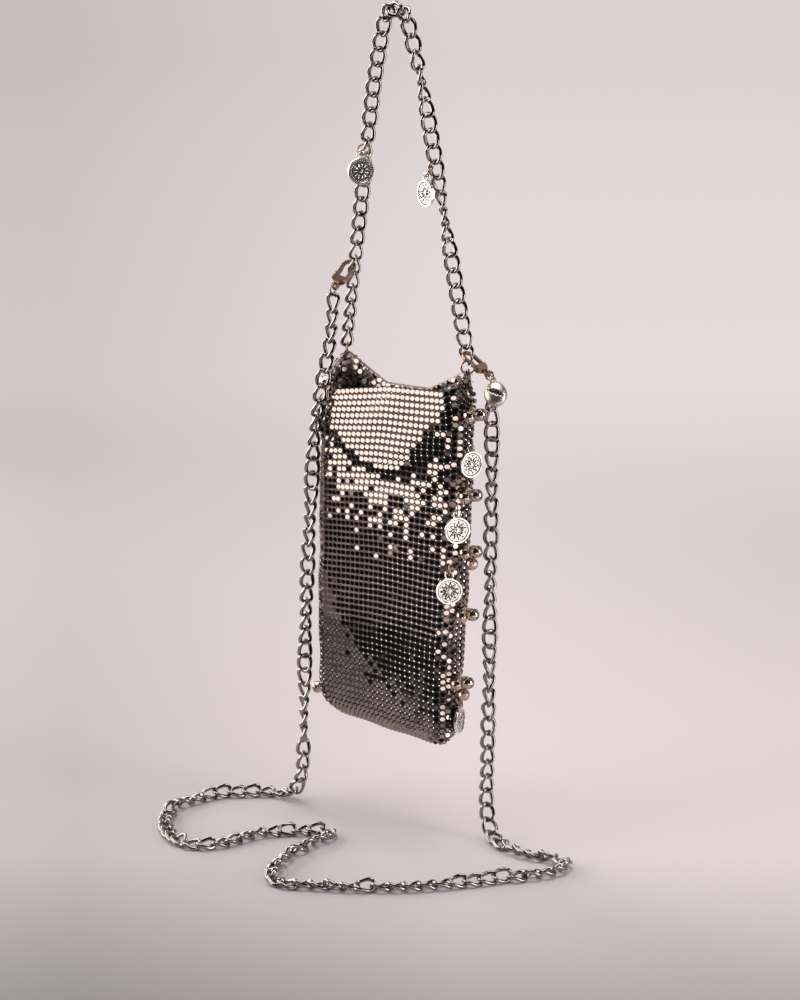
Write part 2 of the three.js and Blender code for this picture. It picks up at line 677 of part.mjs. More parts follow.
function makeBells(charm) {
  const placement = wallRingPlacement(charm);
  const reach = (CHARM_RING.diameter - CHARM_RING.wire) / 2 * Math.SQRT1_2;
  const hook = new THREE.Vector3(reach, -reach, 0);
  const frontward = charm.face === "left" ? -1 : 1;
  const bells = BELL_PLACES.filter((bell) => charm.bells.includes(bell.name)).map((bell) =>
    bellSolid(hook, new THREE.Vector3(bell.out, -bell.drop, bell.along * frontward)));
  addPiece(`bells_${charm.name}`, fuse([solid(ringShape(CHARM_RING)), ...bells]), "bell", placement);
  return ringCutter(CHARM_RING, placement);
}

// Cowrie: domed shell with a slit along its face and a bail that hangs on the strap ring
function makeCowrie({ ringCentre, fall }) {
  const reach = (STRAP_RING.diameter - STRAP_RING.wire) / 2;
  const { length, width, depth, slit, grooveShare, bail, wire } = COWRIE;
  const turn = THREE.MathUtils.degToRad(COWRIE.turn);
  const shell = new THREE.SphereGeometry(1, 12, 8).scale(width / 2, length / 2, depth / 2);
  const groove = new THREE.SphereGeometry(1, 6, 4).scale(slit / 2, length * grooveShare, 2 * slit);
  groove.translate(0, 0, depth / 2);
  shell.rotateY(turn);
  groove.rotateY(turn);
  const bailLoop = wireLoop(bail, bail, wire, 0, RING_WIRE_SIDES).rotateY(Math.PI / 2);
  const bailRise = (length + bail) / 2 - wire;
  bailLoop.translate(0, bailRise, 0);
  const body = fromSolid(solid(shell).subtract(solid(groove)).add(solid(bailLoop)));
  const slack = (bail - STRAP_RING.wire) / 2 - wire - GAP;
  const bailTop = ringCentre.clone().addScaledVector(fall, reach);
  const centre = bailTop.addScaledVector(COWRIE_FALL, slack + bailRise);
  const rise = COWRIE_FALL.clone().negate();
  const ringWay = new THREE.Vector3(0, 1, 0);
  addPiece("cowrie", body, "coin", placeAt(centre, ringWay.cross(rise), rise));
}

// Strap: a round tube that takes the room of the chain
function strapTube(points) {
  const section = new THREE.Shape();
  section.moveTo(STRAP_DIAMETER / 2, 0);
  for (let corner = 1; corner < STRAP_SIDES; corner += 1) {
    const angle = corner * 2 * Math.PI / STRAP_SIDES;
    section.lineTo(Math.cos(angle) * STRAP_DIAMETER / 2, Math.sin(angle) * STRAP_DIAMETER / 2);
  }
  const path = new THREE.CatmullRomCurve3(points);
  return new THREE.ExtrudeGeometry(section, { steps: STRAP_STEPS, extrudePath: path, curveSegments: 1 });
}

function makeStrap() {
  const hanging = ([x, y, z]) => new THREE.Vector3(x, y, z);
  const lying = ([x, y]) => new THREE.Vector3(x, y, STRAP_REST);
  const left = [...LEFT_DROP.map(hanging), ...LEFT_FLOOR.map(lying)];
  const right = [...RIGHT_FLOOR.map(lying), ...RIGHT_DROP.map(hanging)];
  const meeting = left[left.length - 1].clone().lerp(right[0], 0.5);
  const way = right[0].clone().sub(left[left.length - 1]).normalize();
  left.push(meeting.clone().addScaledVector(way, -GAP / 2));
  right.unshift(meeting.clone().addScaledVector(way, GAP / 2));
  addPiece("strap_chain_left", strapTube(left), "chain");
  addPiece("strap_chain_right", strapTube(right), "chain");
}

const cutters = [];
for (const [side, name] of [[-1, "left"], [1, "right"]]) {
  const placement = earRingPlacement(side);
  addPiece(`ear_ring_${name}`, ringShape(EAR_RING), "gold", placement);
  cutters.push(ringCutter(EAR_RING, placement));
}
const coin = coinShape();
cutters.push(...WALL_COINS.map((charm) => makeWallCoin(charm, coin)));
cutters.push(...WALL_BELLS.map(makeBells));
const handle = makeHandle();
makeHandleCoin("handle_left", coin, handle.left[LEFT_COIN_LINK], LEFT_COIN);
makeHandleCoin("handle_right", coin, handle.right[RIGHT_COIN_LINK], RIGHT_COIN);
makeClasp("clasp_left", claspPlacement(handle.left[LEFT_CLASP_LINK], LEFT_CLASP));
const rightStrapEnd = makeClasp("clasp_right", claspPlacement(handle.right[RIGHT_CLASP_LINK], RIGHT_CLASP));
makeCowrie(rightStrapEnd);
makeStrap();
const shell = cutters.reduce((body, cutter) => body.subtract(cutter), solid(makePouchShell()));
addPiece("pouch", fromSolid(shell), "mesh");

export default bag;
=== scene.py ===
"""Chain sling bag: the looks of the metal mesh pouch, its chains, clasps and charms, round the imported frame.

Sizes are millimetres until a mesh is made. +Z is up, the origin is the point where the handle hangs, and the
front of the pouch faces -Y.
"""

from math import atan, atan2, copysign, cos, degrees, exp, hypot, pi, radians, sin, sqrt, tan, tau

import bpy
import numpy as np
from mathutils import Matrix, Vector
from numpy.linalg import norm, svd


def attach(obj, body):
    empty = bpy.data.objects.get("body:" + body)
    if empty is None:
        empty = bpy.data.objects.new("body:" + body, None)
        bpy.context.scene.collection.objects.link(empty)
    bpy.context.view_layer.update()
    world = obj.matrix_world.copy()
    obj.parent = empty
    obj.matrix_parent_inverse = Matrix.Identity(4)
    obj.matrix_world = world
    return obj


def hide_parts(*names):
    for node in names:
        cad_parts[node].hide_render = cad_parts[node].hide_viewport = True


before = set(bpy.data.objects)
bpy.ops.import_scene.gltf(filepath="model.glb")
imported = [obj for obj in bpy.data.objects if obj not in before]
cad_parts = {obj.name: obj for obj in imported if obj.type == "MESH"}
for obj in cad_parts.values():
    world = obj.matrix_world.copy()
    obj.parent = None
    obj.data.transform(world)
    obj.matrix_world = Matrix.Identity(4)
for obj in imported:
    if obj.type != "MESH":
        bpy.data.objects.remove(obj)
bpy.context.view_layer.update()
MM = 0.001
BAG = "bag"
UP = np.array([0.0, 0.0, 1.0])
RANDOM = np.random.default_rng(7)

# Camera of the photograph: turned to the right of the front and looking down
CAMERA_YAW = radians(37.5)
CAMERA_PITCH = radians(14.4)
CAMERA_PLACE = (1063.1, -1381.8, 160.9)
CAMERA_REACH = hypot(*CAMERA_PLACE[:2])
IMAGE_HEIGHT = 1000
FOCAL_PIXELS = 3087
SENSOR_HEIGHT = 36
BACK_WAY = np.array([-sin(CAMERA_YAW), cos(CAMERA_YAW), 0])
RIGHT_WAY = np.array([cos(CAMERA_YAW), sin(CAMERA_YAW), 0])

# Pouch: the same sections and rim as the solid
CORNER_RADIUS = 7
LEAST_SIDE = 1
RIM_LEVEL = -215
EAR_HEIGHT = -204
FOOT_TILT = -3.5
FOOT_TILT_REACH = 45
SECTION_COLUMNS = ("level", "follow", "sag", "left", "right", "front", "back", "bulge", "tilt")
POUCH_SECTIONS = {
    "rim": (-215, 1, 0, -46, 47.5, -9.5, 11.5, 0, 0),
    "cowl": (-231, 0.5, 6, -48.5, 51, -11, 11.5, 3.5, 0),
    "swag": (-241, 0.2, 20, -50, 51, -11.5, 11.5, 6.5, 0),
    "tuck": (-247, 0.1, 20, -50.5, 50.5, -11.5, 11.5, 3.5, 0),
    "fold": (-263, 0, 17, -51, 50, -11.5, 11.5, 5, 0),
    "middle": (-320, 0, 0, -51.5, 47.5, -12, 12, 2.5, 0),
    "lower": (-384, 0, 0, -52, 43.5, -12, 12, 1, 0),
    "base": (-418, 0, 0, -50.5, 41.5, -10, 10, 0.5, 1),
    "foot": (-426, 0, 0, -44.5, 36.5, -4, 4, 0, 1),
}
SECTIONS = [dict(zip(SECTION_COLUMNS, row)) for row in POUCH_SECTIONS.values()]
FACE_LENGTHS = {
    "front": 86, "right front corner": 11, "right": 9, "right corner": 11,
    "back": 86, "left corner": 11, "left": 9, "left front corner": 11,
}
OUTLINE_LENGTH = sum(FACE_LENGTHS.values())
RIM_STATIONS = [
    ("front", 0, -224), ("front", 0.5, -217), ("front", 1, -215), ("right corner", 0.5, EAR_HEIGHT),
    ("back", 0.3, -219.5), ("back", 0.7, -220), ("left corner", 0.5, EAR_HEIGHT),
]
FACE_STARTS = dict(zip(FACE_LENGTHS, np.cumsum([0, *FACE_LENGTHS.values()])))
RIM_WAYS = [FACE_STARTS[face] + along * FACE_LENGTHS[face] for face, along, height in RIM_STATIONS]
RIM_HEIGHTS = [height for face, along, height in RIM_STATIONS]
EAR_WAYS = [way for way, height in zip(RIM_WAYS, RIM_HEIGHTS) if height == EAR_HEIGHT]
CURVE_STEPS = 24

# Small dents of the loose mesh: rolls all over, in waves round and down the pouch, and creases at the ears
ROLL_HEIGHT = 0.5
ROLL_AROUND = (0.11, 0.05)
ROLL_DOWN = (9, 31)
EAR_CREASE_HEIGHT = 1.1
EAR_CREASE_WIDTH = 9
EAR_CREASE_REACH = 0.12
EAR_CREASE_AROUND = 1.3
EAR_CREASE_DOWN = 40

# Disc mesh: each disc has a flat mirror on top of a sloping skirt, and a web lies behind the discs
DISC_PITCH = 3.6
COLUMNS = round(OUTLINE_LENGTH / DISC_PITCH)
ROWS = 57
INNER_ROWS = 16
MIRROR_RADIUS = 1.45
DISC_RADIUS = 1.55
DISC_STRETCH = (1.11, 0.9, 1)
SKIRT_DROP = 0.24
DISC_THICKNESS = 0.7
DISC_SIDES = 12
WEB_DEPTH = 0.9
WEB_THICKNESS = 0.5
PIP_RADIUS = 0.62
PIP_HEIGHT = 0.31

# Looks that change with height: skirts and web darken lower down, which is painted shade, discs shrink lower
# down, and the web is pale above
DARK_SKIRTS = (-340, -385)
LOW_DISC_SCALE = 0.93
PALE_WEB_TOP = -274
# Share of the inside discs that get a rougher, lighter copy of the disc metal, which is painted light
LIT_ROUGH_SHARE = 0.45

# Tip of the discs up from level, and how far they stray from it, in degrees
TIP_BRIGHT = 8.5
TIP_DARK = 3
TIP_SPREAD = 0.9
LOOSE_TIP = 10
BACK_SPREAD = 3
CORNER_SPREAD = 4
EAR_SPREAD = 12
EAR_LOOSE_WIDTH = 16
EAR_LOOSE_REACH = 0.2

# Share of the wall's own turn that the discs of the front follow
BRIGHT_TURN = 0.3
DARK_TURN = 0.6

# Front drape: a dark crease under the swag, a shade on its right, and a band of bright discs that thins out
CREASE = {"middle": 6, "height": -267, "left": 0.0095, "right": 0.017}
CREASE_WIDTH = 3.2
SHADE_SHARE = 0.85
SHADE_START = 13
SHADE_SLOPE = 0.9
SHADE_RISE = 19
BAND = {"middle": 8, "height": -302, "left": 0.0125, "right": 0.0145}
BAND_FADE = 8.5
BAND_SHARE = 0.82
BAND_THIN_REACH = (8, 44)
BAND_THIN_SHARE = 0.55

# Low zone of the front, which mirrors the floor: its upper edge falls from the left to the right
LOW_FOOT = -420
LOW_RISE = 75
LOW_LEFT = -39
LOW_RUN = 33
LOW_FADE = 4

# Reach in front of the bag of what the discs mirror: the pale floor, the dark floor and the low cards
LOW_REACH = 410
DARK_REACH = 900
CARD_REACH = 560
CARD_HEIGHT = -432

# Loose discs of the right front corner and of the inside: shares that catch a light or the floor
CORNER_SPARKLE_SHARE = 0.28
INSIDE_SPARKLE_SHARE = 0.42
CORNER_LOW_SHARE = 0.06
INSIDE_LOW_SHARE = 0.4
SPARKLE_WAYS = ((0, -1, 0), (0.71, -0.71, 0))
SPARKLE_FACING = 0.7
SPARKLE_SPREAD = 2.5

# Curb chain
LINK_LENGTH = 12.6
LINK_WIDTH = 9.6
LINK_WIRE = 2
LINK_TWIST = pi / 2
LINK_BITE = 1.75
LINK_PITCH = LINK_LENGTH - LINK_WIRE - LINK_BITE
LINK_STEPS = 32
LINK_SWELL = 0.4
LINK_SQUARE = 2.8
WIRE_STEPS = 10

# Handle: each leg runs from the middle link to its ear, and its links turn to face the ways listed
HANG_DROP = (LINK_WIDTH - LINK_WIRE) / 2 - LINK_WIRE / 2
SHOULDER_SPREAD = radians(51)
SHOULDER_TUCK = 3.4
SHOULDER_EASE = 6
LEG_LINKS = 22
EAR_EDGE = 3.2
MESH_WALL = 1.8
GAP = 0.3
MEETING_GAP = 3 * GAP
LEFT_COIN_LINK = 9
LEFT_COIN_SIDE = (0.2, -0.98, 0)
RIGHT_COIN_LINK = 10
RIGHT_COIN_SIDE = (-0.93, -0.36, 0)
LEFT_CLASP_LINK = LEG_LINKS - 5
LEFT_CLASP_SIDE = (0, -1, 0)
LEFT_LEG_FACINGS = [
    (0, UP), (2, RIGHT_WAY), (7, RIGHT_WAY), (LEFT_COIN_LINK, LEFT_COIN_SIDE), (12, RIGHT_WAY),
    (LEFT_CLASP_LINK, LEFT_CLASP_SIDE),
]
RIGHT_LEG_FACINGS = [
    (0, UP), (2, RIGHT_WAY), (4, BACK_WAY), (7, RIGHT_WAY), (RIGHT_COIN_LINK, RIGHT_COIN_SIDE),
    (13, BACK_WAY), (16, RIGHT_WAY), (19, RIGHT_WAY),
]

# Rings: diameter and wire
EAR_RING = (8.8, 1.2)
STRAP_RING = (6.6, 1)
CHARM_RING = (8, 1)

# Strap: the run of the chain down the left side, over the floor and up the right side
FLOOR = -484
STRAP_REST = FLOOR + 2.4
LEFT_DROP = [
    (-39.6, -8.2, -169), (-40.5, -10.5, -196), (-43.5, -14.5, -222), (-47.5, -16.8, -252), (-50, -17, -285),
    (-55, -15, -335), (-59, -13, -385), (-61, -12.5, -435), (-62, -13, -464), (-68, -13, -477),
]
LEFT_FLOOR = [
    (-83, -13), (-96, -24), (-108, -35), (-113, -48), (-115, -63), (-110, -80), (-98, -97), (-82, -109),
    (-68, -113), (-57, -108), (-50, -94), (-47, -78), (-40, -66), (-30, -59), (-22, -49), (-13, -46),
    (-9, -54), (-10, -68), (-9, -86), (-4, -106), (3, -120), (12, -127), (22, -125), (33, -118), (48, -111),
]
RIGHT_FLOOR = [
    (74, -91), (87, -77), (96, -66), (104, -55), (112, -44), (119, -35), (126, -24), (129, -13), (126, -4),
    (117, -2), (105, -6), (92, -6), (79, -3),
]
RIGHT_DROP = [
    (67, 4, -478), (61, 8, -468), (60, 9.5, -440), (60.5, 10, -390), (60.5, 10.5, -330), (60.5, 11, -275),
    (59.5, 12.2, -240), (59, 12.2, -208.7),
]
LENGTH_SAMPLES = 1600

# Turn of the strap's links: they swing slowly where they hang, and roll to and fro where they lie
STRAP_FLOOR_LIMIT = -470
STRAP_BLEND = 60
STRAP_FACING = radians(37.5)
STRAP_SWING = radians(62)
STRAP_WAVE = 118
STRAP_WAVE_STARTS = {"left": 2.2, "right": 0.4}
LYING_ROLL = radians(24)
LYING_STRAY = radians(16)
LYING_WAVE = 0.62

# Coins: a raised rim round a field with beads, petals and a boss, with painted shadow in dark rings round the
# beads and boss and under the petals; profiles are (radius, height) pairs
COIN_RADIUS = 7.75
COIN_SIDES = 40
COIN_FIELD = 0.5
COIN_RIM = 0.9
COIN_RIM_WIDTH = 1.0
COIN_SLOPE = 0.3
RIM_INNER_ROUND = (0.15, 0.1)
RIM_OUTER_ROUND = (0.2, 0.25)
COIN_EYE_RADIUS = 2.7
COIN_EYE_HOLE = 1.8
COIN_EYE = COIN_RADIUS + 1.4
COIN_BELOW_EYE = 0.6
BEADS = 30
BEAD_INSET = 0.75
BEAD_PROFILE = [(0, -0.3), (0.3, -0.15), (0.34, 0.05), (0.2, 0.3), (0, 0.36)]
PETALS = 11
PETAL_PLACE = 3.5
PETAL_SIZE = (1.4, 0.55, 0.42)
PETAL_SHADOW = (1.9, 1.0, 0.17)
PETAL_PROFILE = [(0, -1), (0.7, -0.7), (1, 0), (0.7, 0.7), (0, 1)]
BOSS_PROFILE = [(0, -0.2), (1.3, -0.2), (1.1, 0.25), (0.6, 0.5), (0, 0.55)]
SHADOW_RINGS = (1.75, 5.6, 6.6)
SHADOW_RING_WIRE = 0.42
SHADOW_RING_SINK = 0.05

# Bells: a ball on a wire loop, its ridge given in radii; places are out, to the front and down from the ring
BELL_RADIUS = 3.75
BELL_STEPS = 13
BELL_SIDES = 20
BELL_RIDGE = [(1, -0.1), (1.06, -0.05), (1.06, 0.05), (1, 0.1)]
BELL_CROWN = 0.9
BELL_SIDEWAYS = (0.3, 1, 0.2)
LOOP_SPARE = 0.6
LOOP_WIDTH = 2.4
LOOP_WIRE = 0.55
FACE_AZIMUTH = {"right": 0, "left": 180}
BELL_PLACES = {
    "front": (4.5, 4, 7), "back": (4.4, -4.1, 7.6), "outer": (10.4, 1.2, 5.6), "low": (6.8, 0.6, 13.5),
}
THREE_BELLS = ("front", "back", "outer")
FOUR_BELLS = (*THREE_BELLS, "low")
WALL_BELLS = {
    "bells_right_1": ("right", 0.45, -221.5, THREE_BELLS),
    "bells_right_2": ("right", 0.15, -268, THREE_BELLS),
    "bells_right_3": ("right", 0.4, -302, FOUR_BELLS),
    "bells_right_4": ("right", 0.4, -340, THREE_BELLS),
    "bells_right_5": ("right", 0.3, -381.5, FOUR_BELLS),
    "bells_left_1": ("left", 0.1, -216, ("front", "back")),
    "bells_left_2": ("left", 0.5, -404, ("front", "back")),
}

# Cowrie: a domed shell with a toothed slit across its face, on a bail that is given like a ring
COWRIE_LENGTH = 15
COWRIE_WIDTH = 13
COWRIE_DEPTH = 7.5
COWRIE_STEPS = 72
COWRIE_RINGS = 48
COWRIE_TURN = radians(38)
COWRIE_FALL = (0.45, -0.35, -0.82)
SLIT_DEPTH = 1.1
SLIT_TURN = radians(-58)
SLIT_HALF_LENGTH = 5.2
SLIT_HALF_WIDTH = 1.0
SLIT_EDGE = 0.12
SLIT_END = 4
TOOTH_REACH = 0.5
TOOTH_PITCH = 1.5
BAIL = (5, 1)
BAIL_RISE = 1.5

# Clasps: the rounding of their edges
CLASP_ROUND = 0.35
CLASP_ROUND_STEPS = 3

# Floor: edges are (back, left), tones run from front to back, and TONE_LEFT and TONE_RIGHT are (aside, share);
# the tones and the darkening to the left are painted shade of the lamps' fall-off
FLOOR_EDGES = ((-1150, -560), (600, -560), (6500, -1500))
FLOOR_RIGHT = 3000
# Painted shade: the floor darkens towards the left, to nearly black past FLOOR_DARK_LEFT, except behind the
# bag
FLOOR_PALE_LEFT = -250
FLOOR_DARK_LEFT = -520
FLOOR_DARK_SHARE = 0.04
FLOOR_FADE_BACK = (20, 240)
# Painted shade: the tones stand in for the fall-off of the top light, darker in front of the bag
FLOOR_TONES = (
    (-1150, (0.3, 0.275, 0.27)), (-750, (0.5, 0.46, 0.45)), (-270, (0.345, 0.314, 0.331)),
    (-60, (0.605, 0.554, 0.578)), (300, (0.61, 0.558, 0.574)),
)
TONE_LEFT = (-0.11, 0.755)
TONE_RIGHT = (0.021, 0.96)
NEAR_TONE_LEFT = 0.65
# Painted light: far behind the bag the floor glows, in place of lamplight there
FAR_FADE = (150, 1300)
FAR_TONE = (0.785, 0.705, 0.704)
FAR_FALL = ((1150, 1), (4150, 0.86))

# Studio: tones from the camera's side to the back, and the aim and low cards of the lights
STUDIO_TONES = ((0.1, (0.012, 0.011, 0.011)), (0.7, (0.6, 0.55, 0.548)))
LIGHT_AIM = (0, 0, -250)
CARD_TURNS = (-37, -8, 21)
CARD_SIZE = (260, 80)
CARD_GLOW = 3.2

# Metals: fineness of the grain
GRAIN_SCALE = 900.0


def unit(vector):
    return np.asarray(vector, float) / norm(vector)


def square_frame(along, across):
    """Rotation whose columns are along, across made square to it, and the way through both."""
    x = unit(along)
    across = np.asarray(across, float)
    y = unit(across - across.dot(x) * x)
    return np.column_stack([x, y, np.cross(x, y)])


def facing_frame(facing, upward):
    """Rotation whose z is facing and whose y is upward made square to it."""
    z = unit(facing)
    x = unit(np.cross(upward, z))
    return np.column_stack([x, np.cross(z, x), z])


def level_way(angle):
    return np.array([cos(angle), sin(angle), 0])


# Materials
def metal(name, color, roughness, grain=0.0):
    """Polished metal; grain varies its roughness finely over the surface."""
    material = bpy.data.materials.new(name)
    material.use_nodes = True
    nodes, links = material.node_tree.nodes, material.node_tree.links
    shader = nodes["Principled BSDF"]
    shader.inputs["Base Color"].default_value = (*color, 1)
    shader.inputs["Metallic"].default_value = 1
    shader.inputs["Roughness"].default_value = roughness
    if grain:
        place = nodes.new("ShaderNodeTexCoord")
        noise = nodes.new("ShaderNodeTexNoise")
        noise.inputs["Scale"].default_value = GRAIN_SCALE
        spread = nodes.new("ShaderNodeMapRange")
        spread.inputs["To Min"].default_value = roughness - grain
        spread.inputs["To Max"].default_value = roughness + grain
        links.new(place.outputs["Object"], noise.inputs["Vector"])
        links.new(noise.outputs["Fac"], spread.inputs["Value"])
        links.new(spread.outputs["Result"], shader.inputs["Roughness"])
    return material


DISC_METAL = metal("disc_metal", (0.27, 0.224, 0.207), 0.07, 0.03)
SKIRT_METAL = metal("skirt_metal", (0.56, 0.472, 0.452), 0.34, 0.06)
# Painted shade: a dark copy of the skirt metal, for skirts low down and on the whole right side
SHADED_SKIRT_METAL = metal("painted_shade_skirt_metal", (0.12, 0.096, 0.092), 0.3, 0.06)
# Painted light: a rougher, lighter copy of the disc metal, for a share of the inside discs
LIT_ROUGH_DISC_METAL = metal("painted_light_rough_disc_metal", (0.75, 0.65, 0.61), 0.4, 0.12)
DISC_MATERIALS = [DISC_METAL, SKIRT_METAL, SHADED_SKIRT_METAL, LIT_ROUGH_DISC_METAL]
MIRROR_SLOT, SKIRT_SLOT, SHADED_SKIRT_SLOT, LIT_ROUGH_SLOT = range(len(DISC_MATERIALS))
WEB_METAL = metal("web_metal", (0.36, 0.3, 0.288), 0.5)
# Dark copy of the web, above and below its pale band; low down it is painted shade
WEB_DARK = metal("web_dark", (0.1, 0.083, 0.08), 0.5)
JOINT_METAL = metal("joint_metal", (0.85, 0.78, 0.75), 0.14)
SLIT_METAL = metal("slit_metal", (0.04, 0.036, 0.034), 0.4)
CHAIN_METAL = metal("chain_metal", (0.3, 0.273, 0.261), 0.06, 0.03)
COIN_METAL = metal("coin_metal", (0.93, 0.88, 0.83), 0.25, 0.07)
COWRIE_METAL = metal("cowrie_metal", (0.54, 0.475, 0.435), 0.36, 0.04)
# Painted shadow: dark metal in rings and under the petals, round the coins' relief
COIN_SHADOW_METAL = metal("coin_painted_shadow", (0.08, 0.075, 0.071), 0.5)
BELL_METAL = metal("bell_metal", (0.56, 0.45, 0.375), 0.2, 0.05)
GOLD_METAL = metal("gold_metal", (0.36, 0.245, 0.185), 0.24, 0.06)


# Mesh helpers
def add_object(name, data):
    piece = bpy.data.objects.new(name, data)
    bpy.context.scene.collection.objects.link(piece)
    return piece


def add_mesh(name, vertices, faces, materials, face_slots=None, smooth=True, replaces=()):
    """Object of the bag from millimetre vertices, riding on the bag's body."""
    mesh = bpy.data.meshes.new(name)
    mesh.from_pydata((np.asarray(vertices) * MM).tolist(), [], [list(face) for face in faces])
    for material in materials:
        mesh.materials.append(material)
    if face_slots is not None:
        mesh.polygons.foreach_set("material_index", np.asarray(face_slots, np.int32))
    mesh.polygons.foreach_set("use_smooth", [smooth] * len(mesh.polygons))
    mesh.update()
    piece = add_object(name, mesh)
    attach(piece, BAG)
    if replaces:
        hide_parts(*replaces)


def repeat(vertices, faces, frames):
    """One template placed at every (point, rotation) of frames, as joined vertices and faces."""
    return joined([(vertices @ rotation.T + point, faces) for point, rotation in frames])


def joined(parts):
    """Several (vertices, faces) as one."""
    faces = []
    offset = 0
    for part_vertices, part_faces in parts:
        faces.extend([corner + offset for corner in face] for face in part_faces)
        offset += len(part_vertices)
    return np.concatenate([vertices for vertices, _ in parts]), faces


def tube_faces(rings, corners, closed):
    """Quads of a tube that has rings of corners, closed on itself or open."""
    faces = []
    for ring in range(rings if closed else rings - 1):
        here = ring * corners
        ahead = (ring + 1) % rings * corners
        for corner in range(corners):
            after = (corner + 1) % corners
            faces.append((here + corner, here + after, ahead + after, ahead + corner))
    return faces


def lathe(profile, sides):
    """Closed solid turned about z from (radius, height) pairs that start and end on the axis."""
    rings = profile[1:-1]
    angles = np.arange(sides) * tau / sides
    vertices = [(radius * cos(angle), radius * sin(angle), height)
                for radius, height in rings for angle in angles]
    faces = [face[::-1] for face in tube_faces(len(rings), sides, False)]
    low = len(vertices)
    vertices += [(0, 0, profile[0][1]), (0, 0, profile[-1][1])]
    last = (len(rings) - 1) * sides
    for corner in range(sides):
        after = (corner + 1) % sides
        faces.append((low, after, corner))
        faces.append((low + 1, last + corner, last + after))
    return np.array(vertices, float), faces


def signed_power(value, power):
    return copysign(abs(value) ** power, value)


def wire_loop(length, width, wire, twist, steps=LINK_STEPS, corners=WIRE_STEPS, square=2):
    """Oval of round wire with its long way on x, twisted end to end about x.

    Its sides are straighter as square grows.
    """
    half = (length - wire) / 2
    side = (width - wire) / 2
    vertices = []
    for step in range(steps):
        turn = (step + 0.5) * tau / steps
        run = signed_power(cos(turn), 2 / square)
        rise = signed_power(sin(turn), 2 / square)
        outward = unit((signed_power(run, square - 1) / half, signed_power(rise, square - 1) / side))
        for corner in range(corners):
            roll = corner * tau / corners
            reach = cos(roll) * wire / 2
            x = half * run + outward[0] * reach
            y = side * rise + outward[1] * reach
            z = sin(roll) * wire / 2
            angle = twist * x / length
            turned_y = y * cos(angle) - z * sin(angle)
            turned_z = y * sin(angle) + z * cos(angle)
            vertices.append((x, turned_y, turned_z))
    return np.array(vertices), tube_faces(steps, corners, True)


def round_wire(size, **detail):
    """Round ring of a diameter and wire."""
    diameter, wire = size
    return wire_loop(diameter, diameter, wire, 0, **detail)


def nodes_named(start):
    return sorted(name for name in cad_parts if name.startswith(start))


def node_points(name):
    """Vertices of a CAD node at rest, in millimetres."""
    return np.array([vertex.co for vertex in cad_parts[name].data.vertices], float) / MM


def flat_frame(points):
    """Middle of a flat ring's points, and a rotation whose z is square to its plane."""
    middle = points.mean(0)
    ways = svd(points - middle, full_matrices=False)[2]
    return middle, square_frame(ways[0], ways[1])


# Pouch surface
def outline_point(section, face, along):
    """Place of a station on the outline of one section."""
    left = section["left"] + CORNER_RADIUS
    right = section["right"] - CORNER_RADIUS
    depth = min(CORNER_RADIUS, (section["back"] - section["front"] - LEAST_SIDE) / 2)
    front = section["front"] + depth
    back = section["back"] - depth

    def corner(x, y, start):
        angle = start + along * pi / 2
        return x + cos(angle) * CORNER_RADIUS, y + sin(angle) * depth

    def mix(start, end):
        return start + (end - start) * along

    return {
        "front": lambda: (mix(left, right), section["front"]),
        "right front corner": lambda: corner(right, front, -pi / 2),
        "right": lambda: (section["right"], mix(front, back)),
        "right corner": lambda: corner(right, back, 0),
        "back": lambda: (mix(right, left), section["back"]),
        "left corner": lambda: corner(left, back, pi / 2),
        "left": lambda: (section["left"], mix(back, front)),
        "left front corner": lambda: corner(left, front, pi),
    }[face]()


def rim_height(way):
    return np.interp(way, [*RIM_WAYS, OUTLINE_LENGTH], [*RIM_HEIGHTS, RIM_HEIGHTS[0]])


def station_at(way):
    """Face of the pouch at a way round its outline, and the share of that face."""
    way %= OUTLINE_LENGTH
    for face, start in FACE_STARTS.items():
        if way < start + FACE_LENGTHS[face]:
            return face, (way - start) / FACE_LENGTHS[face]
    return "front", 0.0


def column_points(face, along):
    """Points of the pouch wall at one station, one for each section."""
    way = FACE_STARTS[face] + along * FACE_LENGTHS[face]
    swag = 1 - (2 * along - 1) ** 2 if face == "front" else 0
    points = []
    for section in SECTIONS:
        x, y = outline_point(section, face, along)
        height = section["level"] + section["follow"] * (rim_height(way) - RIM_LEVEL) - section["sag"] * swag
        tilt = section["tilt"] * FOOT_TILT * x / FOOT_TILT_REACH
        points.append((x, y - section["bulge"] * swag, height + tilt))
    return np.array(points)


def blend(t, start, end, first, last):
    """Mix of two points: the first at start and the last at end."""
    return (end - t) / (end - start) * first + (t - start) / (end - start) * last


def smooth_run(points, samples):
    """Smooth curve through points, sampled evenly along its length."""
    points = np.asarray(points, float)
    padded = np.vstack([2 * points[0] - points[1], points, 2 * points[-1] - points[-2]])
    knots = np.concatenate([[0], np.cumsum(np.sqrt(norm(np.diff(padded, axis=0), axis=1)))])
    dense = []
    for index in range(1, len(padded) - 2):
        t0, t1, t2, t3 = knots[index - 1:index + 3]
        p0, p1, p2, p3 = padded[index - 1:index + 3]
        t = np.linspace(t1, t2, CURVE_STEPS, endpoint=False)[:, None]
        a1 = blend(t, t0, t1, p0, p1)
        a2 = blend(t, t1, t2, p1, p2)
        a3 = blend(t, t2, t3, p2, p3)
        b1 = blend(t, t0, t2, a1, a2)
        b2 = blend(t, t1, t3, a2, a3)
        dense.append(blend(t, t1, t2, b1, b2))
    dense = np.vstack([*dense, points[-1:]])
    lengths = np.concatenate([[0], np.cumsum(norm(np.diff(dense, axis=0), axis=1))])
    wanted = samples if np.ndim(samples) else np.linspace(0, 1, samples)
    return np.column_stack([np.interp(wanted * lengths[-1], lengths, dense[:, axis]) for axis in range(3)])


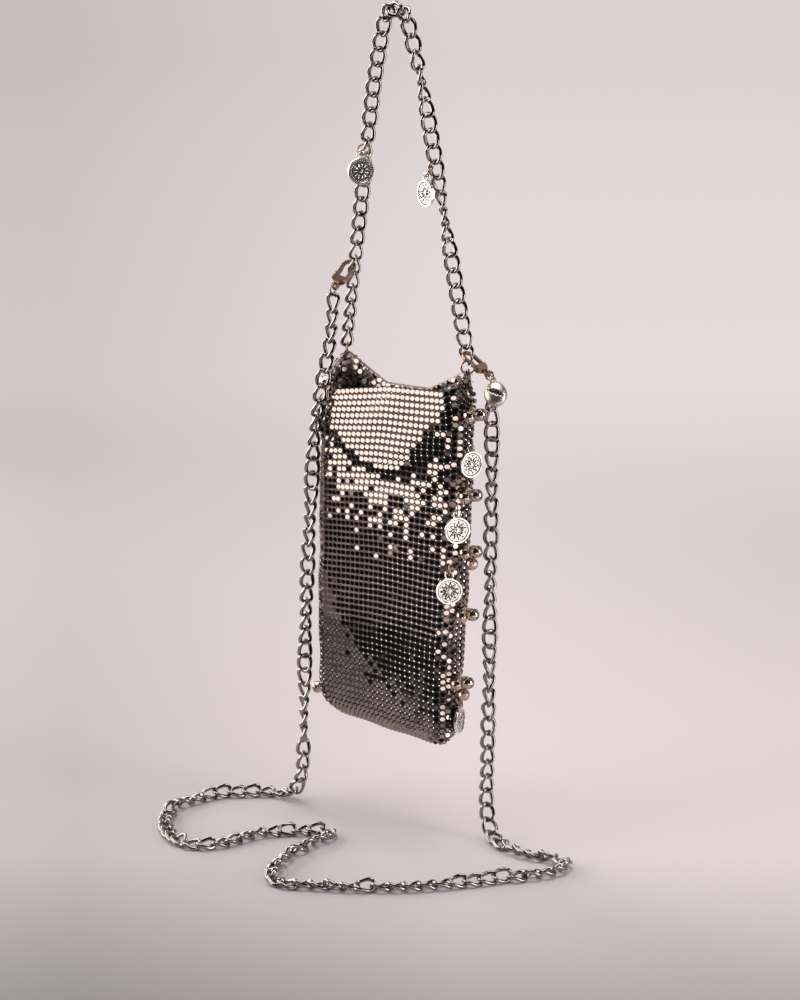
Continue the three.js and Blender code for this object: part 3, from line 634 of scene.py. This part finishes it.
def crumple(way, share):
    """Small dents of the loose mesh: soft rolls all over and creases below the ears."""
    around = sin(way * ROLL_AROUND[0] + ROLL_DOWN[0] * share)
    down = sin(ROLL_DOWN[1] * share + ROLL_AROUND[1] * way)
    near = sum(exp(-((way - ear) / EAR_CREASE_WIDTH) ** 2) for ear in EAR_WAYS)
    near *= exp(-(share / EAR_CREASE_REACH) ** 2)
    wave = sin(way * EAR_CREASE_AROUND + EAR_CREASE_DOWN * share)
    return ROLL_HEIGHT * around * down + EAR_CREASE_HEIGHT * near * wave


def grid_normals(points):
    """Outward normals of a grid of wall points, and the ways down the wall at them."""
    around = np.roll(points, -1, axis=0) - np.roll(points, 1, axis=0)
    down = np.gradient(points, axis=1)
    normals = np.cross(down, around)
    return normals / norm(normals, axis=2, keepdims=True), down


def wall_grid(column_shift, row_shift, rows):
    """Points, outward normals and ways down of the dented wall on a grid of columns and rows."""
    shares = (np.arange(rows) + row_shift) / ROWS
    ways = (np.arange(COLUMNS) + column_shift) * OUTLINE_LENGTH / COLUMNS
    points = np.array([smooth_run(column_points(*station_at(way)), shares) for way in ways])
    push = np.array([[crumple(way, share) for share in shares] for way in ways])
    points = points + grid_normals(points)[0] * push[..., None]
    return points, *grid_normals(points)


def make_web():
    """Thin shell behind the discs, pale inside and across the middle of the outside, and dark above and below;
    the dark web low down is painted shade, and the pale inside is painted light.
    """
    rows = ROWS + 1
    points, normals, _ = wall_grid(0, 0, rows)
    outer = points - normals * WEB_DEPTH
    inner = points - normals * (WEB_DEPTH + WEB_THICKNESS)
    vertices = np.concatenate([outer.reshape(-1, 3), inner.reshape(-1, 3)])
    half = COLUMNS * rows
    faces = []
    for column in range(COLUMNS):
        after = (column + 1) % COLUMNS
        for row in range(rows - 1):
            a, b = column * rows + row, after * rows + row
            faces.append((a, a + 1, b + 1, b))
            faces.append((half + a, half + b, half + b + 1, half + a + 1))
        a, b = column * rows, after * rows
        faces.append((a, b, half + b, half + a))
    for start, flip in ((0, False), (half, True)):
        bottom = [start + column * rows + rows - 1 for column in range(COLUMNS)]
        faces.append(tuple(bottom[::-1] if flip else bottom))
    slots = []
    for face in faces:
        height = vertices[list(face), 2].mean()
        # Pale copy inside, which is painted light, and across the middle; the dark copy low down is painted
        # shade
        pale = face[0] >= half or np.mean(DARK_SKIRTS) < height < PALE_WEB_TOP
        slots.append(0 if pale else 1)
    add_mesh("pouch_web", vertices, faces, [WEB_METAL, WEB_DARK], slots, replaces=["pouch"])


def disc_template():
    """Disc that faces z: a mirror, a sloping skirt, an edge and a flat back."""
    half = DISC_THICKNESS / 2
    edge = [(DISC_RADIUS, -half), (DISC_RADIUS, half - SKIRT_DROP), (MIRROR_RADIUS, half)]
    vertices, faces = lathe([(0, -half), *edge, (0, half)], DISC_SIDES)
    return vertices * DISC_STRETCH, faces


def pip_template():
    """Eight-sided pip for the joint between four discs."""
    r, top = PIP_RADIUS, PIP_HEIGHT
    vertices = np.array([(r, 0, 0), (0, r, 0), (-r, 0, 0), (0, -r, 0), (0, 0, top), (0, 0, -top)])
    faces = [(0, 1, 4), (1, 2, 4), (2, 3, 4), (3, 0, 4), (1, 0, 5), (2, 1, 5), (3, 2, 5), (0, 3, 5)]
    return vertices, faces


def bowl(curve, x):
    """Height of a hanging fold at x: lowest at its middle, with its own steepness on each side."""
    reach = x - curve["middle"]
    return curve["height"] + curve["left" if reach < 0 else "right"] * reach ** 2


def mirror_tip(z, height, reach):
    """Tip, in degrees, of a disc at z that mirrors what stands at a height and a reach from the bag."""
    view = atan((CAMERA_PLACE[2] - z) / CAMERA_REACH)
    return degrees(view - atan((z - height) / reach)) / 2


def front_tip(x, z):
    """Tip of a disc on the front, in degrees, by the zone of the drape that it hangs in."""
    above_crease = z - bowl(CREASE, x)
    above_band = z - bowl(BAND, x)
    spread = RANDOM.normal(0, TIP_SPREAD)
    chance = RANDOM.random()
    if above_crease > CREASE_WIDTH:
        shade_top = min(SHADE_RISE, SHADE_SLOPE * (x - SHADE_START))
        in_shade = above_crease < shade_top and chance < SHADE_SHARE
        return (TIP_DARK if in_shade else TIP_BRIGHT) + spread
    if above_crease > -CREASE_WIDTH:
        return TIP_DARK + spread
    bright_share = BAND_SHARE / (1 + exp(-above_band / BAND_FADE))
    bright_share *= np.interp(x, BAND_THIN_REACH, (1, BAND_THIN_SHARE))
    if chance < bright_share:
        return TIP_BRIGHT + spread
    low_edge = LOW_FOOT + LOW_RISE * exp((LOW_LEFT - x) / LOW_RUN)
    low_share = 1 / (1 + exp((z - low_edge) / LOW_FADE))
    if RANDOM.random() < low_share:
        return mirror_tip(z, FLOOR, LOW_REACH) + spread / 2
    return max(TIP_DARK, mirror_tip(z, FLOOR, DARK_REACH)) + spread / 2


def loose_facing(point, normal, spread, low_share, sparkle_share):
    """Way a loosely hung disc faces: some catch a light, some the floor, and the rest lean back."""
    chance = RANDOM.random()
    stray = RANDOM.normal(0, 1, 3)
    if chance < sparkle_share:
        way = max(SPARKLE_WAYS, key=lambda way: np.dot(way, normal))
        if np.dot(way, normal) > SPARKLE_FACING:
            to_card = way == SPARKLE_WAYS[1]
            tip = mirror_tip(point[2], CARD_HEIGHT, CARD_REACH) if to_card else TIP_BRIGHT
            return unit(way + UP * tan(radians(tip)) + stray * radians(SPARKLE_SPREAD))
    tip = mirror_tip(point[2], FLOOR, LOW_REACH) if chance > 1 - low_share else LOOSE_TIP
    level = unit((normal[0], normal[1], 0))
    return unit(level + UP * tan(radians(tip)) + stray * radians(spread))


def disc_facing(face, way, share, point, normal):
    """Way a disc faces: by the drape on the front, loosely on the right front corner, else by the wall."""
    if face == "front":
        tip = front_tip(point[0], point[2])
        turn = BRIGHT_TURN if tip > (TIP_BRIGHT + TIP_DARK) / 2 else DARK_TURN
        tip = radians(tip)
        level = unit((turn * normal[0], -1, 0))
        return unit(level * cos(tip) + UP * sin(tip))
    if face == "right front corner":
        return loose_facing(point, normal, CORNER_SPREAD, CORNER_LOW_SHARE, CORNER_SPARKLE_SHARE)
    ear = max(exp(-((way - ear_way) / EAR_LOOSE_WIDTH) ** 2) for ear_way in EAR_WAYS)
    ear *= exp(-(share / EAR_LOOSE_REACH) ** 2)
    spread = radians(CORNER_SPREAD if face != "back" else BACK_SPREAD)
    spread += radians(EAR_SPREAD) * ear
    return unit(normal + RANDOM.normal(0, spread, 3))


def skirt_darkness(z):
    """Share of skirts with painted shade at a height: none above the low zone and all of them at its foot."""
    return np.interp(-z, [-DARK_SKIRTS[0], -DARK_SKIRTS[1]], [0, 1])


def make_discs():
    """Discs in a square grid, split by the side that they are on, and the joints between them."""
    points, normals, down = wall_grid(0.5, 0.5, ROWS)
    sides = {"front": [], "right": [], "back": [], "left": [], "inside": []}
    for column in range(COLUMNS):
        way = (column + 0.5) * OUTLINE_LENGTH / COLUMNS
        face = station_at(way)[0]
        for row in range(ROWS):
            point, normal, fall = points[column, row], normals[column, row], down[column, row]
            facing = disc_facing(face, way, (row + 0.5) / ROWS, point, normal)
            scale = 1 + (LOW_DISC_SCALE - 1) * skirt_darkness(point[2])
            sides[face.split()[0]].append((point, scale * facing_frame(facing, fall)))
            if row < INNER_ROWS:
                depth = 2 * WEB_DEPTH + WEB_THICKNESS
                loose = loose_facing(point, -normal, EAR_SPREAD, INSIDE_LOW_SHARE, INSIDE_SPARKLE_SHARE)
                sides["inside"].append((point - depth * normal, facing_frame(loose, fall)))
    disc, disc_faces = disc_template()
    top = disc[:, 2].max()
    on_mirror = [np.allclose(disc[list(face), 2], top) for face in disc_faces]
    for side, frames in sides.items():
        vertices, faces = repeat(disc, disc_faces, frames)
        slots = []
        for point, _ in frames:
            # Painted shade: skirts darken lower down, and on every disc of the right side
            dark = RANDOM.random() < skirt_darkness(point[2]) or side == "right"
            # Painted light: a share of the inside discs gets the lighter, rougher disc metal
            lit_rough = RANDOM.random() < LIT_ROUGH_SHARE and side == "inside"
            mirror_slot = LIT_ROUGH_SLOT if lit_rough else MIRROR_SLOT
            skirt_slot = SHADED_SKIRT_SLOT if dark else SKIRT_SLOT
            slots.extend(mirror_slot if mirror else skirt_slot for mirror in on_mirror)
        add_mesh(f"pouch_discs_{side}", vertices, faces, DISC_MATERIALS, slots, False)
    points, normals, down = wall_grid(0, 0, ROWS)
    pips = [(points[place], facing_frame(normals[place], down[place]))
            for place in np.ndindex(COLUMNS, ROWS) if place[1] > 0]
    vertices, faces = repeat(*pip_template(), pips)
    add_mesh("pouch_joints", vertices, faces, [JOINT_METAL], smooth=False)


# Handle
def ear_tip(side):
    """Top of an ear, in the middle of the wall."""
    face = "right corner" if side > 0 else "left corner"
    x, y = outline_point(SECTIONS[0], face, 0.5)
    inset = MESH_WALL / 2 * sqrt(0.5)
    return np.array([x - side * inset, y - inset, EAR_HEIGHT])


def leg_axes(joints, link):
    """Way along a link of a leg, and two ways across it."""
    along = unit(joints[link + 1] - joints[link])
    plain = unit(np.cross((0, 1, 0), along))
    return along, plain, np.cross(along, plain)


def leg_links(side, facings):
    """(middle, along, across, pitch) of each link on one leg of the handle, from the top down."""
    tip = ear_tip(side)
    reach = (EAR_RING[0] - EAR_RING[1]) / 2
    top = np.array([side * LINK_PITCH / 2, 0, -HANG_DROP])
    spread = np.array([side * sin(SHOULDER_SPREAD), 0, -cos(SHOULDER_SPREAD)])
    shoulder = top + spread * LINK_PITCH
    ring_top = tip + UP * (2 * reach - EAR_EDGE)
    bite = LINK_WIRE / 2 + GAP + EAR_RING[1] / 2 - LINK_BITE / 2
    end = ring_top + unit(ring_top - shoulder) * bite
    joints = [top] + [shoulder + (end - shoulder) * link / LEG_LINKS for link in range(LEG_LINKS + 1)]
    for link in range(SHOULDER_EASE):
        joints[link + 1][0] -= side * SHOULDER_TUCK * (1 - link / SHOULDER_EASE) ** 2
    turns = []
    for link, across in facings:
        along, plain, turned = leg_axes(joints, link)
        turns.append(atan2(np.dot(across, turned), np.dot(across, plain)))
    for index in range(1, len(turns)):
        change = atan(tan(turns[index] - turns[index - 1]))
        turns[index] = turns[index - 1] + change
    links = []
    for link in range(LEG_LINKS + 1):
        along, plain, turned = leg_axes(joints, link)
        angle = np.interp(link, [facing[0] for facing in facings], turns)
        across = plain * cos(angle) + turned * sin(angle)
        pitch = norm(joints[link + 1] - joints[link])
        links.append(((joints[link] + joints[link + 1]) / 2, along, across, pitch))
    return links


def ring_across(side):
    """Way across the last link of a leg, so that its lower end takes the ear's ring."""
    facing = atan2(1, side)
    turn = facing + pi / 2 + LINK_TWIST / 2
    return level_way(turn)


def add_chain(kind, side, links, slim=()):
    """Links joined as one; the slim ones keep the plain wire, to leave room for a clasp."""
    parts = []
    for index, (middle, along, across, pitch) in enumerate(links):
        wire = LINK_WIRE if index in slim else LINK_WIRE + LINK_SWELL
        length = pitch + LINK_BITE + LINK_WIRE
        vertices, faces = wire_loop(length, LINK_WIDTH, wire, LINK_TWIST, square=LINK_SQUARE)
        placed = vertices @ square_frame(along, across).T + middle
        placed[:, 2] += max(0, FLOOR - placed[:, 2].min())
        parts.append((placed, faces))
    vertices, faces = joined(parts)
    add_mesh(f"{kind}_links_{side}", vertices, faces, [CHAIN_METAL],
             replaces=[f"{kind}_chain_{side}"])


def make_handle():
    left = leg_links(-1, [*LEFT_LEG_FACINGS, (LEG_LINKS, ring_across(-1))])
    right = leg_links(1, [*RIGHT_LEG_FACINGS, (LEG_LINKS, ring_across(1))])
    middle = (np.array([0, 0, -HANG_DROP]), np.array([1.0, 0, 0]), UP, LINK_PITCH)
    loosening = LINK_WIRE + MEETING_GAP - LINK_BITE
    place, along, across, pitch = left[0]
    left[0] = (place - along * loosening / 2, along, across, pitch + loosening)
    slim_left = range(LEFT_CLASP_LINK - 1, LEFT_CLASP_LINK + 2)
    slim_right = range(LEG_LINKS - 1, LEG_LINKS + 2)
    add_chain("handle", "left", left, slim_left)
    add_chain("handle", "right", [middle, *right], slim_right)


# Strap
def nearest_turn(turn, other):
    """The half turn of other that lies nearest to turn: a link looks the same after half a turn."""
    return other + round((turn - other) / pi) * pi


def strap_links(points, wave_start):
    """Links along the run, rolling to and fro on the floor and swinging slowly where they hang."""
    dense = smooth_run(points, LENGTH_SAMPLES)
    length = norm(np.diff(dense, axis=0), axis=1).sum()
    count = round(length / LINK_PITCH)
    joints = smooth_run(points, count + 1)
    lying = np.flatnonzero(joints[:, 2] < STRAP_FLOOR_LIMIT)
    links = []
    for link in range(count):
        run = joints[link + 1] - joints[link]
        middle = (joints[link] + joints[link + 1]) / 2
        near = min(lying, key=lambda joint: abs(joint - link))
        step = joints[min(near + 1, count)] - joints[max(near - 1, 0)]
        lying_turn = atan2(step[1], step[0]) + pi / 2
        height = middle[2] - STRAP_FLOOR_LIMIT
        hanging_turn = STRAP_FACING + STRAP_SWING * sin(tau * height / STRAP_WAVE + wave_start)
        share = min(1, max(0, height / STRAP_BLEND))
        base = nearest_turn(hanging_turn, lying_turn)
        turn = base + (hanging_turn - base) * share
        level = level_way(turn)
        roll = LYING_ROLL * sin(link * LYING_WAVE + wave_start) + RANDOM.normal(0, LYING_STRAY)
        roll *= 1 - share
        across = level * cos(roll) + UP * sin(roll)
        links.append((middle, unit(run), across, norm(run)))
    return links


def make_strap():
    meeting = tuple((np.array(LEFT_FLOOR[-1]) + np.array(RIGHT_FLOOR[0])) / 2)
    left = [*LEFT_DROP, *[(x, y, STRAP_REST) for x, y in [*LEFT_FLOOR, meeting]]]
    right = [*[(x, y, STRAP_REST) for x, y in [meeting, *RIGHT_FLOOR]], *RIGHT_DROP]
    for name, points in (("left", left), ("right", right)):
        add_chain("strap", name, strap_links(points, STRAP_WAVE_STARTS[name]))


# Rings, coins, bells and cowrie
def make_rings():
    for start, size in (("coin_ring", CHARM_RING), ("ear_ring", EAR_RING), ("strap_ring", STRAP_RING)):
        for name in nodes_named(start):
            middle, rotation = flat_frame(node_points(name))
            vertices, faces = round_wire(size)
            add_mesh(f"{name}_wire", vertices @ rotation.T + middle, faces, [GOLD_METAL],
                     replaces=[name])


def turn_about_z(angle):
    x, y = cos(angle), sin(angle)
    return np.array([[x, -y, 0], [y, x, 0], [0, 0, 1]])


def coin_template():
    """Vertices, faces and slots of a coin that faces z, with its eye along y and both faces raised; slot 1
    holds the painted shadow round the relief.
    """
    inner = COIN_RADIUS - COIN_RIM_WIDTH
    upper = [(COIN_RADIUS, COIN_RIM - RIM_OUTER_ROUND[1]), (COIN_RADIUS - RIM_OUTER_ROUND[0], COIN_RIM),
             (inner + RIM_INNER_ROUND[0], COIN_RIM), (inner, COIN_RIM - RIM_INNER_ROUND[1]),
             (inner - COIN_SLOPE, COIN_FIELD), (0, COIN_FIELD)]
    lower = [(radius, -height) for radius, height in reversed(upper)]
    pale = [lathe(lower + upper, COIN_SIDES)]
    dark = []
    bead, bead_faces = lathe(BEAD_PROFILE, sides=6)
    petal, petal_faces = lathe(PETAL_PROFILE, sides=8)
    boss, boss_faces = lathe(BOSS_PROFILE, sides=14)
    for face in (-1, 1):
        flip = np.diag([1, face, face])
        field = np.array([0, 0, face * COIN_FIELD])
        for index in range(BEADS):
            angle = index * tau / BEADS
            place = (inner - BEAD_INSET) * level_way(angle) + field
            pale.append((bead @ flip.T + place, bead_faces))
        for index in range(PETALS):
            turn = turn_about_z(index * tau / PETALS)
            for size, parts in ((PETAL_SIZE, pale), (PETAL_SHADOW, dark)):
                shape = petal * size + (PETAL_PLACE, 0, face * COIN_FIELD)
                parts.append((shape @ turn.T, petal_faces))
        pale.append((boss @ flip.T + field, boss_faces))
        # Dark rings round the beads and the boss: painted shadow
        for radius in SHADOW_RINGS:
            ring, ring_faces = round_wire((2 * radius, SHADOW_RING_WIRE), steps=COIN_SIDES, corners=6)
            dark.append((ring + (0, 0, face * (COIN_FIELD - SHADOW_RING_SINK)), ring_faces))
    eye_size = (2 * COIN_EYE_RADIUS, COIN_EYE_RADIUS - COIN_EYE_HOLE)
    eye, eye_faces = round_wire(eye_size, steps=20, corners=8)
    pale.append((eye + (0, COIN_EYE, 0), eye_faces))
    slots = [0] * sum(len(faces) for _, faces in pale) + [1] * sum(len(faces) for _, faces in dark)
    return *joined(pale + dark), slots


def make_coins():
    vertices, faces, slots = coin_template()
    for name in nodes_named("coin_"):
        if name.startswith("coin_ring"):
            continue
        points = node_points(name)
        low, high = points.min(0), points.max(0)
        middle = (low + high) / 2
        middle[2] = high[2] - COIN_EYE - COIN_EYE_RADIUS
        disc = points[points[:, 2] < middle[2] + COIN_RADIUS * COIN_BELOW_EYE]
        flat = disc[:, :2] - disc[:, :2].mean(0)
        facing = np.append(svd(flat, full_matrices=False)[2][1], 0)
        rotation = facing_frame(facing, UP)
        placed = vertices @ rotation.T + middle
        add_mesh(f"{name}_relief", placed, faces, [COIN_METAL, COIN_SHADOW_METAL], slots, False,
                 replaces=[name])


def wall_point(face, along, height):
    """Point of the pouch wall at one station and height."""
    points = column_points(face, along)
    below = int(np.argmax(points[:, 2] < height))
    share = (height - points[below, 2]) / (points[below - 1, 2] - points[below, 2])
    return points[below] + (points[below - 1] - points[below]) * share


def bell_parts(hook, centre):
    """Bell on its wire loop: a smooth ball with a ridge round its middle."""
    run = hook - centre
    r = BELL_RADIUS
    angles = np.linspace(-pi / 2, pi / 2, BELL_STEPS)
    ball = [(r * cos(angle), r * sin(angle)) for angle in angles[1:-1]]
    middle = len(ball) // 2
    ball[middle:middle + 1] = [(r * radius, r * height) for radius, height in BELL_RIDGE]
    dome = lathe([(0, -r), *ball, (0, r)], BELL_SIDES)
    rotation = facing_frame(run, BELL_SIDEWAYS)
    loop_length = norm(run) - BELL_CROWN * r + LOOP_SPARE
    loop = wire_loop(loop_length, min(LOOP_WIDTH, loop_length), LOOP_WIRE, 0, steps=18, corners=6)
    stand = np.column_stack([(0, 0, 1), (1, 0, 0), (0, 1, 0)])
    loop_vertices = loop[0] @ stand.T + (0, 0, BELL_CROWN * r + loop_length / 2 - LOOP_SPARE / 2)
    return [(dome[0] @ rotation.T + centre, dome[1]), (loop_vertices @ rotation.T + centre, loop[1])]


def make_bells():
    reach = (CHARM_RING[0] - CHARM_RING[1]) / 2
    inset = MESH_WALL + GAP + CHARM_RING[1] / 2
    for name, (face, along, height, bells) in WALL_BELLS.items():
        out = level_way(radians(FACE_AZIMUTH[face]))
        frontward = np.array([0, -1.0, 0])
        middle = wall_point(face, along, height) + out * (reach - inset)
        hook = middle + (out - UP) * reach * sqrt(0.5)
        ring = round_wire(CHARM_RING, steps=28, corners=8)
        parts = [(ring[0] @ square_frame(out, UP).T + middle, ring[1])]
        for bell in bells:
            bell_out, bell_along, drop = BELL_PLACES[bell]
            centre = middle + out * bell_out + frontward * bell_along - UP * drop
            parts.extend(bell_parts(hook, centre))
        vertices, faces = joined(parts)
        slots = [1] * len(ring[1]) + [0] * (len(faces) - len(ring[1]))
        add_mesh(f"{name}_bunch", vertices, faces, [BELL_METAL, GOLD_METAL], slots,
                 replaces=[name])


def cowrie_slit(x, y):
    """Depth of the toothed slit under a point of the shell's face."""
    along = x * sin(SLIT_TURN) + y * cos(SLIT_TURN)
    aside = x * cos(SLIT_TURN) - y * sin(SLIT_TURN)
    taper = max(0, 1 - (along / SLIT_HALF_LENGTH) ** 2)
    half = taper * (SLIT_HALF_WIDTH + TOOTH_REACH * cos(along * tau / TOOTH_PITCH))
    return SLIT_DEPTH / (1 + exp((abs(aside) - half) / SLIT_EDGE)) * min(1, SLIT_END * taper)


def make_cowrie():
    """Domed shell with a toothed slit along its face and a bail at its top."""
    points = node_points("cowrie")
    rise = -unit(COWRIE_FALL)
    tip = points[np.argmin(points @ rise)]
    middle = tip + rise * COWRIE_LENGTH / 2
    rotation = square_frame(np.cross((0, 1, 0), rise), rise)
    steps, rings = COWRIE_STEPS, COWRIE_RINGS
    vertices = [(0, -COWRIE_LENGTH / 2, 0)]
    for ring in range(1, rings):
        polar = ring / rings * pi
        y = -cos(polar) * COWRIE_LENGTH / 2
        for step in range(steps):
            angle = step * tau / steps
            x = cos(angle) * sin(polar) * COWRIE_WIDTH / 2
            z = sin(angle) * sin(polar) * COWRIE_DEPTH / 2
            vertices.append((x, y, z - cowrie_slit(x, y) * (z > 0)))
    vertices.append((0, COWRIE_LENGTH / 2, 0))
    vertices = np.array(vertices)
    faces = [tuple(1 + corner for corner in face) for face in tube_faces(rings - 1, steps, False)]
    last = len(vertices) - 1
    for step in range(steps):
        after = (step + 1) % steps
        faces.append((0, 1 + after, 1 + step))
        faces.append((last, last - steps + step, last - steps + after))
    middles = [vertices[list(face)].mean(0) for face in faces]
    slots = [int(z > 0 and cowrie_slit(x, y) > SLIT_DEPTH / 2) for x, y, z in middles]
    bail = round_wire(BAIL, steps=24, corners=8)
    stand = np.column_stack([(0, 1, 0), (0, 0, 1), (1, 0, 0)])
    bail_vertices = bail[0] @ stand.T + (0, COWRIE_LENGTH / 2 + BAIL_RISE, 0)
    turn = facing_frame((sin(COWRIE_TURN), 0, cos(COWRIE_TURN)), (0, 1, 0))
    all_vertices, all_faces = joined([(vertices @ turn.T, faces), (bail_vertices, bail[1])])
    slots += [0] * len(bail[1])
    add_mesh("cowrie_shell", all_vertices @ rotation.T + middle, all_faces, [COWRIE_METAL, SLIT_METAL], slots,
             replaces=["cowrie"])


def dress_clasps():
    """The clasps keep their solids, with rounded edges."""
    for name in nodes_named("clasp_"):
        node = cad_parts[name]
        node.data.materials.clear()
        node.data.materials.append(GOLD_METAL)
        rounding = node.modifiers.new("rounding", "BEVEL")
        rounding.width = CLASP_ROUND * MM
        rounding.segments = CLASP_ROUND_STEPS
        rounding.limit_method = "ANGLE"


# Stage, light and camera
def node_value(tree, operation, *sources):
    """Output of a math node that is fed by sockets or by constants."""
    on_vectors = operation in ("DOT_PRODUCT", "SCALE")
    node = tree.nodes.new("ShaderNodeVectorMath" if on_vectors else "ShaderNodeMath")
    node.operation = operation
    for index, source in enumerate(sources):
        if isinstance(source, bpy.types.NodeSocket):
            tree.links.new(source, node.inputs["Scale" if operation == "SCALE" and index else index])
        else:
            node.inputs[index].default_value = source
    return node.outputs["Vector" if operation == "SCALE" else "Value"]


def node_range(tree, source, low, high, low_value=0.0, high_value=1.0, smooth=False):
    """Value that runs from low_value to high_value as the source goes from low to high."""
    node = tree.nodes.new("ShaderNodeMapRange")
    if smooth:
        node.interpolation_type = "SMOOTHSTEP"
    for name, value in (("From Min", low), ("From Max", high), ("To Min", low_value), ("To Max", high_value)):
        node.inputs[name].default_value = value
    tree.links.new(source, node.inputs["Value"])
    return node.outputs["Result"]


def tone_ramp(tree, source, tones):
    """Color that runs through the (position, tone) stops as the source goes from 0 to 1."""
    ramp = tree.nodes.new("ShaderNodeValToRGB")
    stops = ramp.color_ramp.elements
    while len(stops) < len(tones):
        stops.new(0.5)
    for stop, (position, tone) in zip(stops, tones):
        stop.position = position
        stop.color = (*tone, 1)
    tree.links.new(source, ramp.inputs["Fac"])
    return ramp.outputs["Color"]


def floor_material():
    """Pale floor: darker towards the front and the left, which is painted shade, and glowing softly far behind
    the bag, which is painted light in place of lamps.
    """
    material = bpy.data.materials.new("floor")
    material.use_nodes = True
    tree = material.node_tree
    shader = tree.nodes["Principled BSDF"]
    shader.inputs["Roughness"].default_value = 0.5
    shader.inputs["Specular IOR Level"].default_value = 0.1
    place = tree.nodes.new("ShaderNodeTexCoord").outputs["Object"]
    back = node_value(tree, "DOT_PRODUCT", place, tuple(BACK_WAY / MM))
    right = node_value(tree, "DOT_PRODUCT", place, tuple(RIGHT_WAY / MM))
    low, high = FLOOR_TONES[0][0], FLOOR_TONES[-1][0]
    tones = [((depth - low) / (high - low), tone) for depth, tone in FLOOR_TONES]
    # Painted shade: tones darker towards the front and the left
    front_tone = tone_ramp(tree, node_range(tree, back, low, high), tones)
    left_shade = node_range(tree, right, FLOOR_DARK_LEFT, FLOOR_PALE_LEFT, FLOOR_DARK_SHARE, 1, True)
    behind = node_range(tree, back, *FLOOR_FADE_BACK, smooth=True)
    shade = node_value(tree, "MAXIMUM", left_shade, behind)
    distance = node_value(tree, "ADD", back, CAMERA_REACH)
    aside = node_value(tree, "DIVIDE", right, distance)
    slope = node_range(tree, aside, TONE_LEFT[0], TONE_RIGHT[0], TONE_LEFT[1], TONE_RIGHT[1])
    near_slope = node_range(tree, aside, TONE_LEFT[0], TONE_RIGHT[0], NEAR_TONE_LEFT, TONE_RIGHT[1])
    far = node_range(tree, back, *FAR_FADE, smooth=True)
    near = node_value(tree, "SUBTRACT", 1.0, far)
    share = node_value(tree, "MULTIPLY", shade, near_slope)
    share = node_value(tree, "MULTIPLY", share, near)
    color = node_value(tree, "SCALE", front_tone, share)
    tree.links.new(color, shader.inputs["Base Color"])
    # Painted light: the far floor glows in place of lamplight
    glow = node_value(tree, "SCALE", FAR_TONE, slope)
    tree.links.new(glow, shader.inputs["Emission Color"])
    fall = node_range(tree, back, FAR_FALL[0][0], FAR_FALL[1][0], FAR_FALL[0][1], FAR_FALL[1][1])
    strength = node_value(tree, "MULTIPLY", far, fall)
    tree.links.new(strength, shader.inputs["Emission Strength"])
    return material


def make_floor():
    vertices = [side * RIGHT_WAY + back * BACK_WAY + FLOOR * UP
                for back, left in FLOOR_EDGES for side in (left, FLOOR_RIGHT)]
    faces = [(2 * step, 2 * step + 1, 2 * step + 3, 2 * step + 2) for step in range(len(FLOOR_EDGES) - 1)]
    mesh = bpy.data.meshes.new("floor")
    mesh.from_pydata((np.array(vertices) * MM).tolist(), [], faces)
    mesh.materials.append(floor_material())
    floor = add_object("floor", mesh)


def make_world():
    """Studio that is pale behind the bag and dark on the camera's side."""
    world = bpy.data.worlds.new("studio")
    world.use_nodes = True
    tree = world.node_tree
    place = tree.nodes.new("ShaderNodeTexCoord").outputs["Generated"]
    depth = node_value(tree, "DOT_PRODUCT", place, tuple(BACK_WAY))
    tree.links.new(tone_ramp(tree, depth, STUDIO_TONES), tree.nodes["Background"].inputs["Color"])
    bpy.context.scene.world = world


def area_light(name, place, target, size, glow, color):
    """Soft box of a size in millimetres; glow is its brightness as a mirror shows it."""
    light = bpy.data.lights.new(name, "AREA")
    light.shape = "RECTANGLE"
    light.size, light.size_y = size[0] * MM, size[1] * MM
    light.energy = glow * pi * light.size * light.size_y
    light.color = color
    lamp = add_object(name, light)
    lamp.location = Vector(place) * MM
    lamp.rotation_euler = (Vector(target) - Vector(place)).to_track_quat("-Z", "Y").to_euler()


def around(azimuth, distance, height):
    """Place at an azimuth in degrees from +X round the bag."""
    angle = radians(azimuth)
    return (distance * cos(angle), distance * sin(angle), height)


def make_light():
    key = around(azimuth=212, distance=1400, height=130)
    area_light("key", key, LIGHT_AIM, size=(1900, 1080), glow=4.2, color=(1, 0.95, 0.9))
    top, below = (-60, 40, 1350), (-30, 60, FLOOR)
    area_light("top", top, below, size=(1300, 1300), glow=4.4, color=(1, 0.975, 0.965))
    side = around(azimuth=12, distance=1300, height=60)
    area_light("side", side, LIGHT_AIM, size=(430, 1000), glow=7, color=(1, 0.97, 0.94))
    for turn in CARD_TURNS:
        card = around(turn, CARD_REACH, CARD_HEIGHT)
        area_light("card", card, (0, 0, CARD_HEIGHT), CARD_SIZE, CARD_GLOW, color=(1, 0.95, 0.9))
    rim = around(azimuth=165, distance=1000, height=-150)
    area_light("rim", rim, LIGHT_AIM, size=(240, 1300), glow=6.5, color=(1, 0.97, 0.95))


def make_camera():
    camera = bpy.data.cameras.new("camera")
    camera.sensor_fit = "VERTICAL"
    camera.sensor_height = SENSOR_HEIGHT
    camera.lens = SENSOR_HEIGHT * FOCAL_PIXELS / IMAGE_HEIGHT
    holder = add_object("camera", camera)
    holder.location = Vector(CAMERA_PLACE) * MM
    view = Vector(BACK_WAY * cos(CAMERA_PITCH) - UP * sin(CAMERA_PITCH))
    holder.rotation_euler = view.to_track_quat("-Z", "Y").to_euler()
    bpy.context.scene.camera = holder


bpy.context.scene.view_settings.view_transform = "Standard"
make_camera()
make_world()
make_floor()
make_light()
make_web()
make_discs()
make_handle()
make_strap()
make_rings()
make_coins()
make_bells()
make_cowrie()
dress_clasps()
bpy.context.view_layer.update()
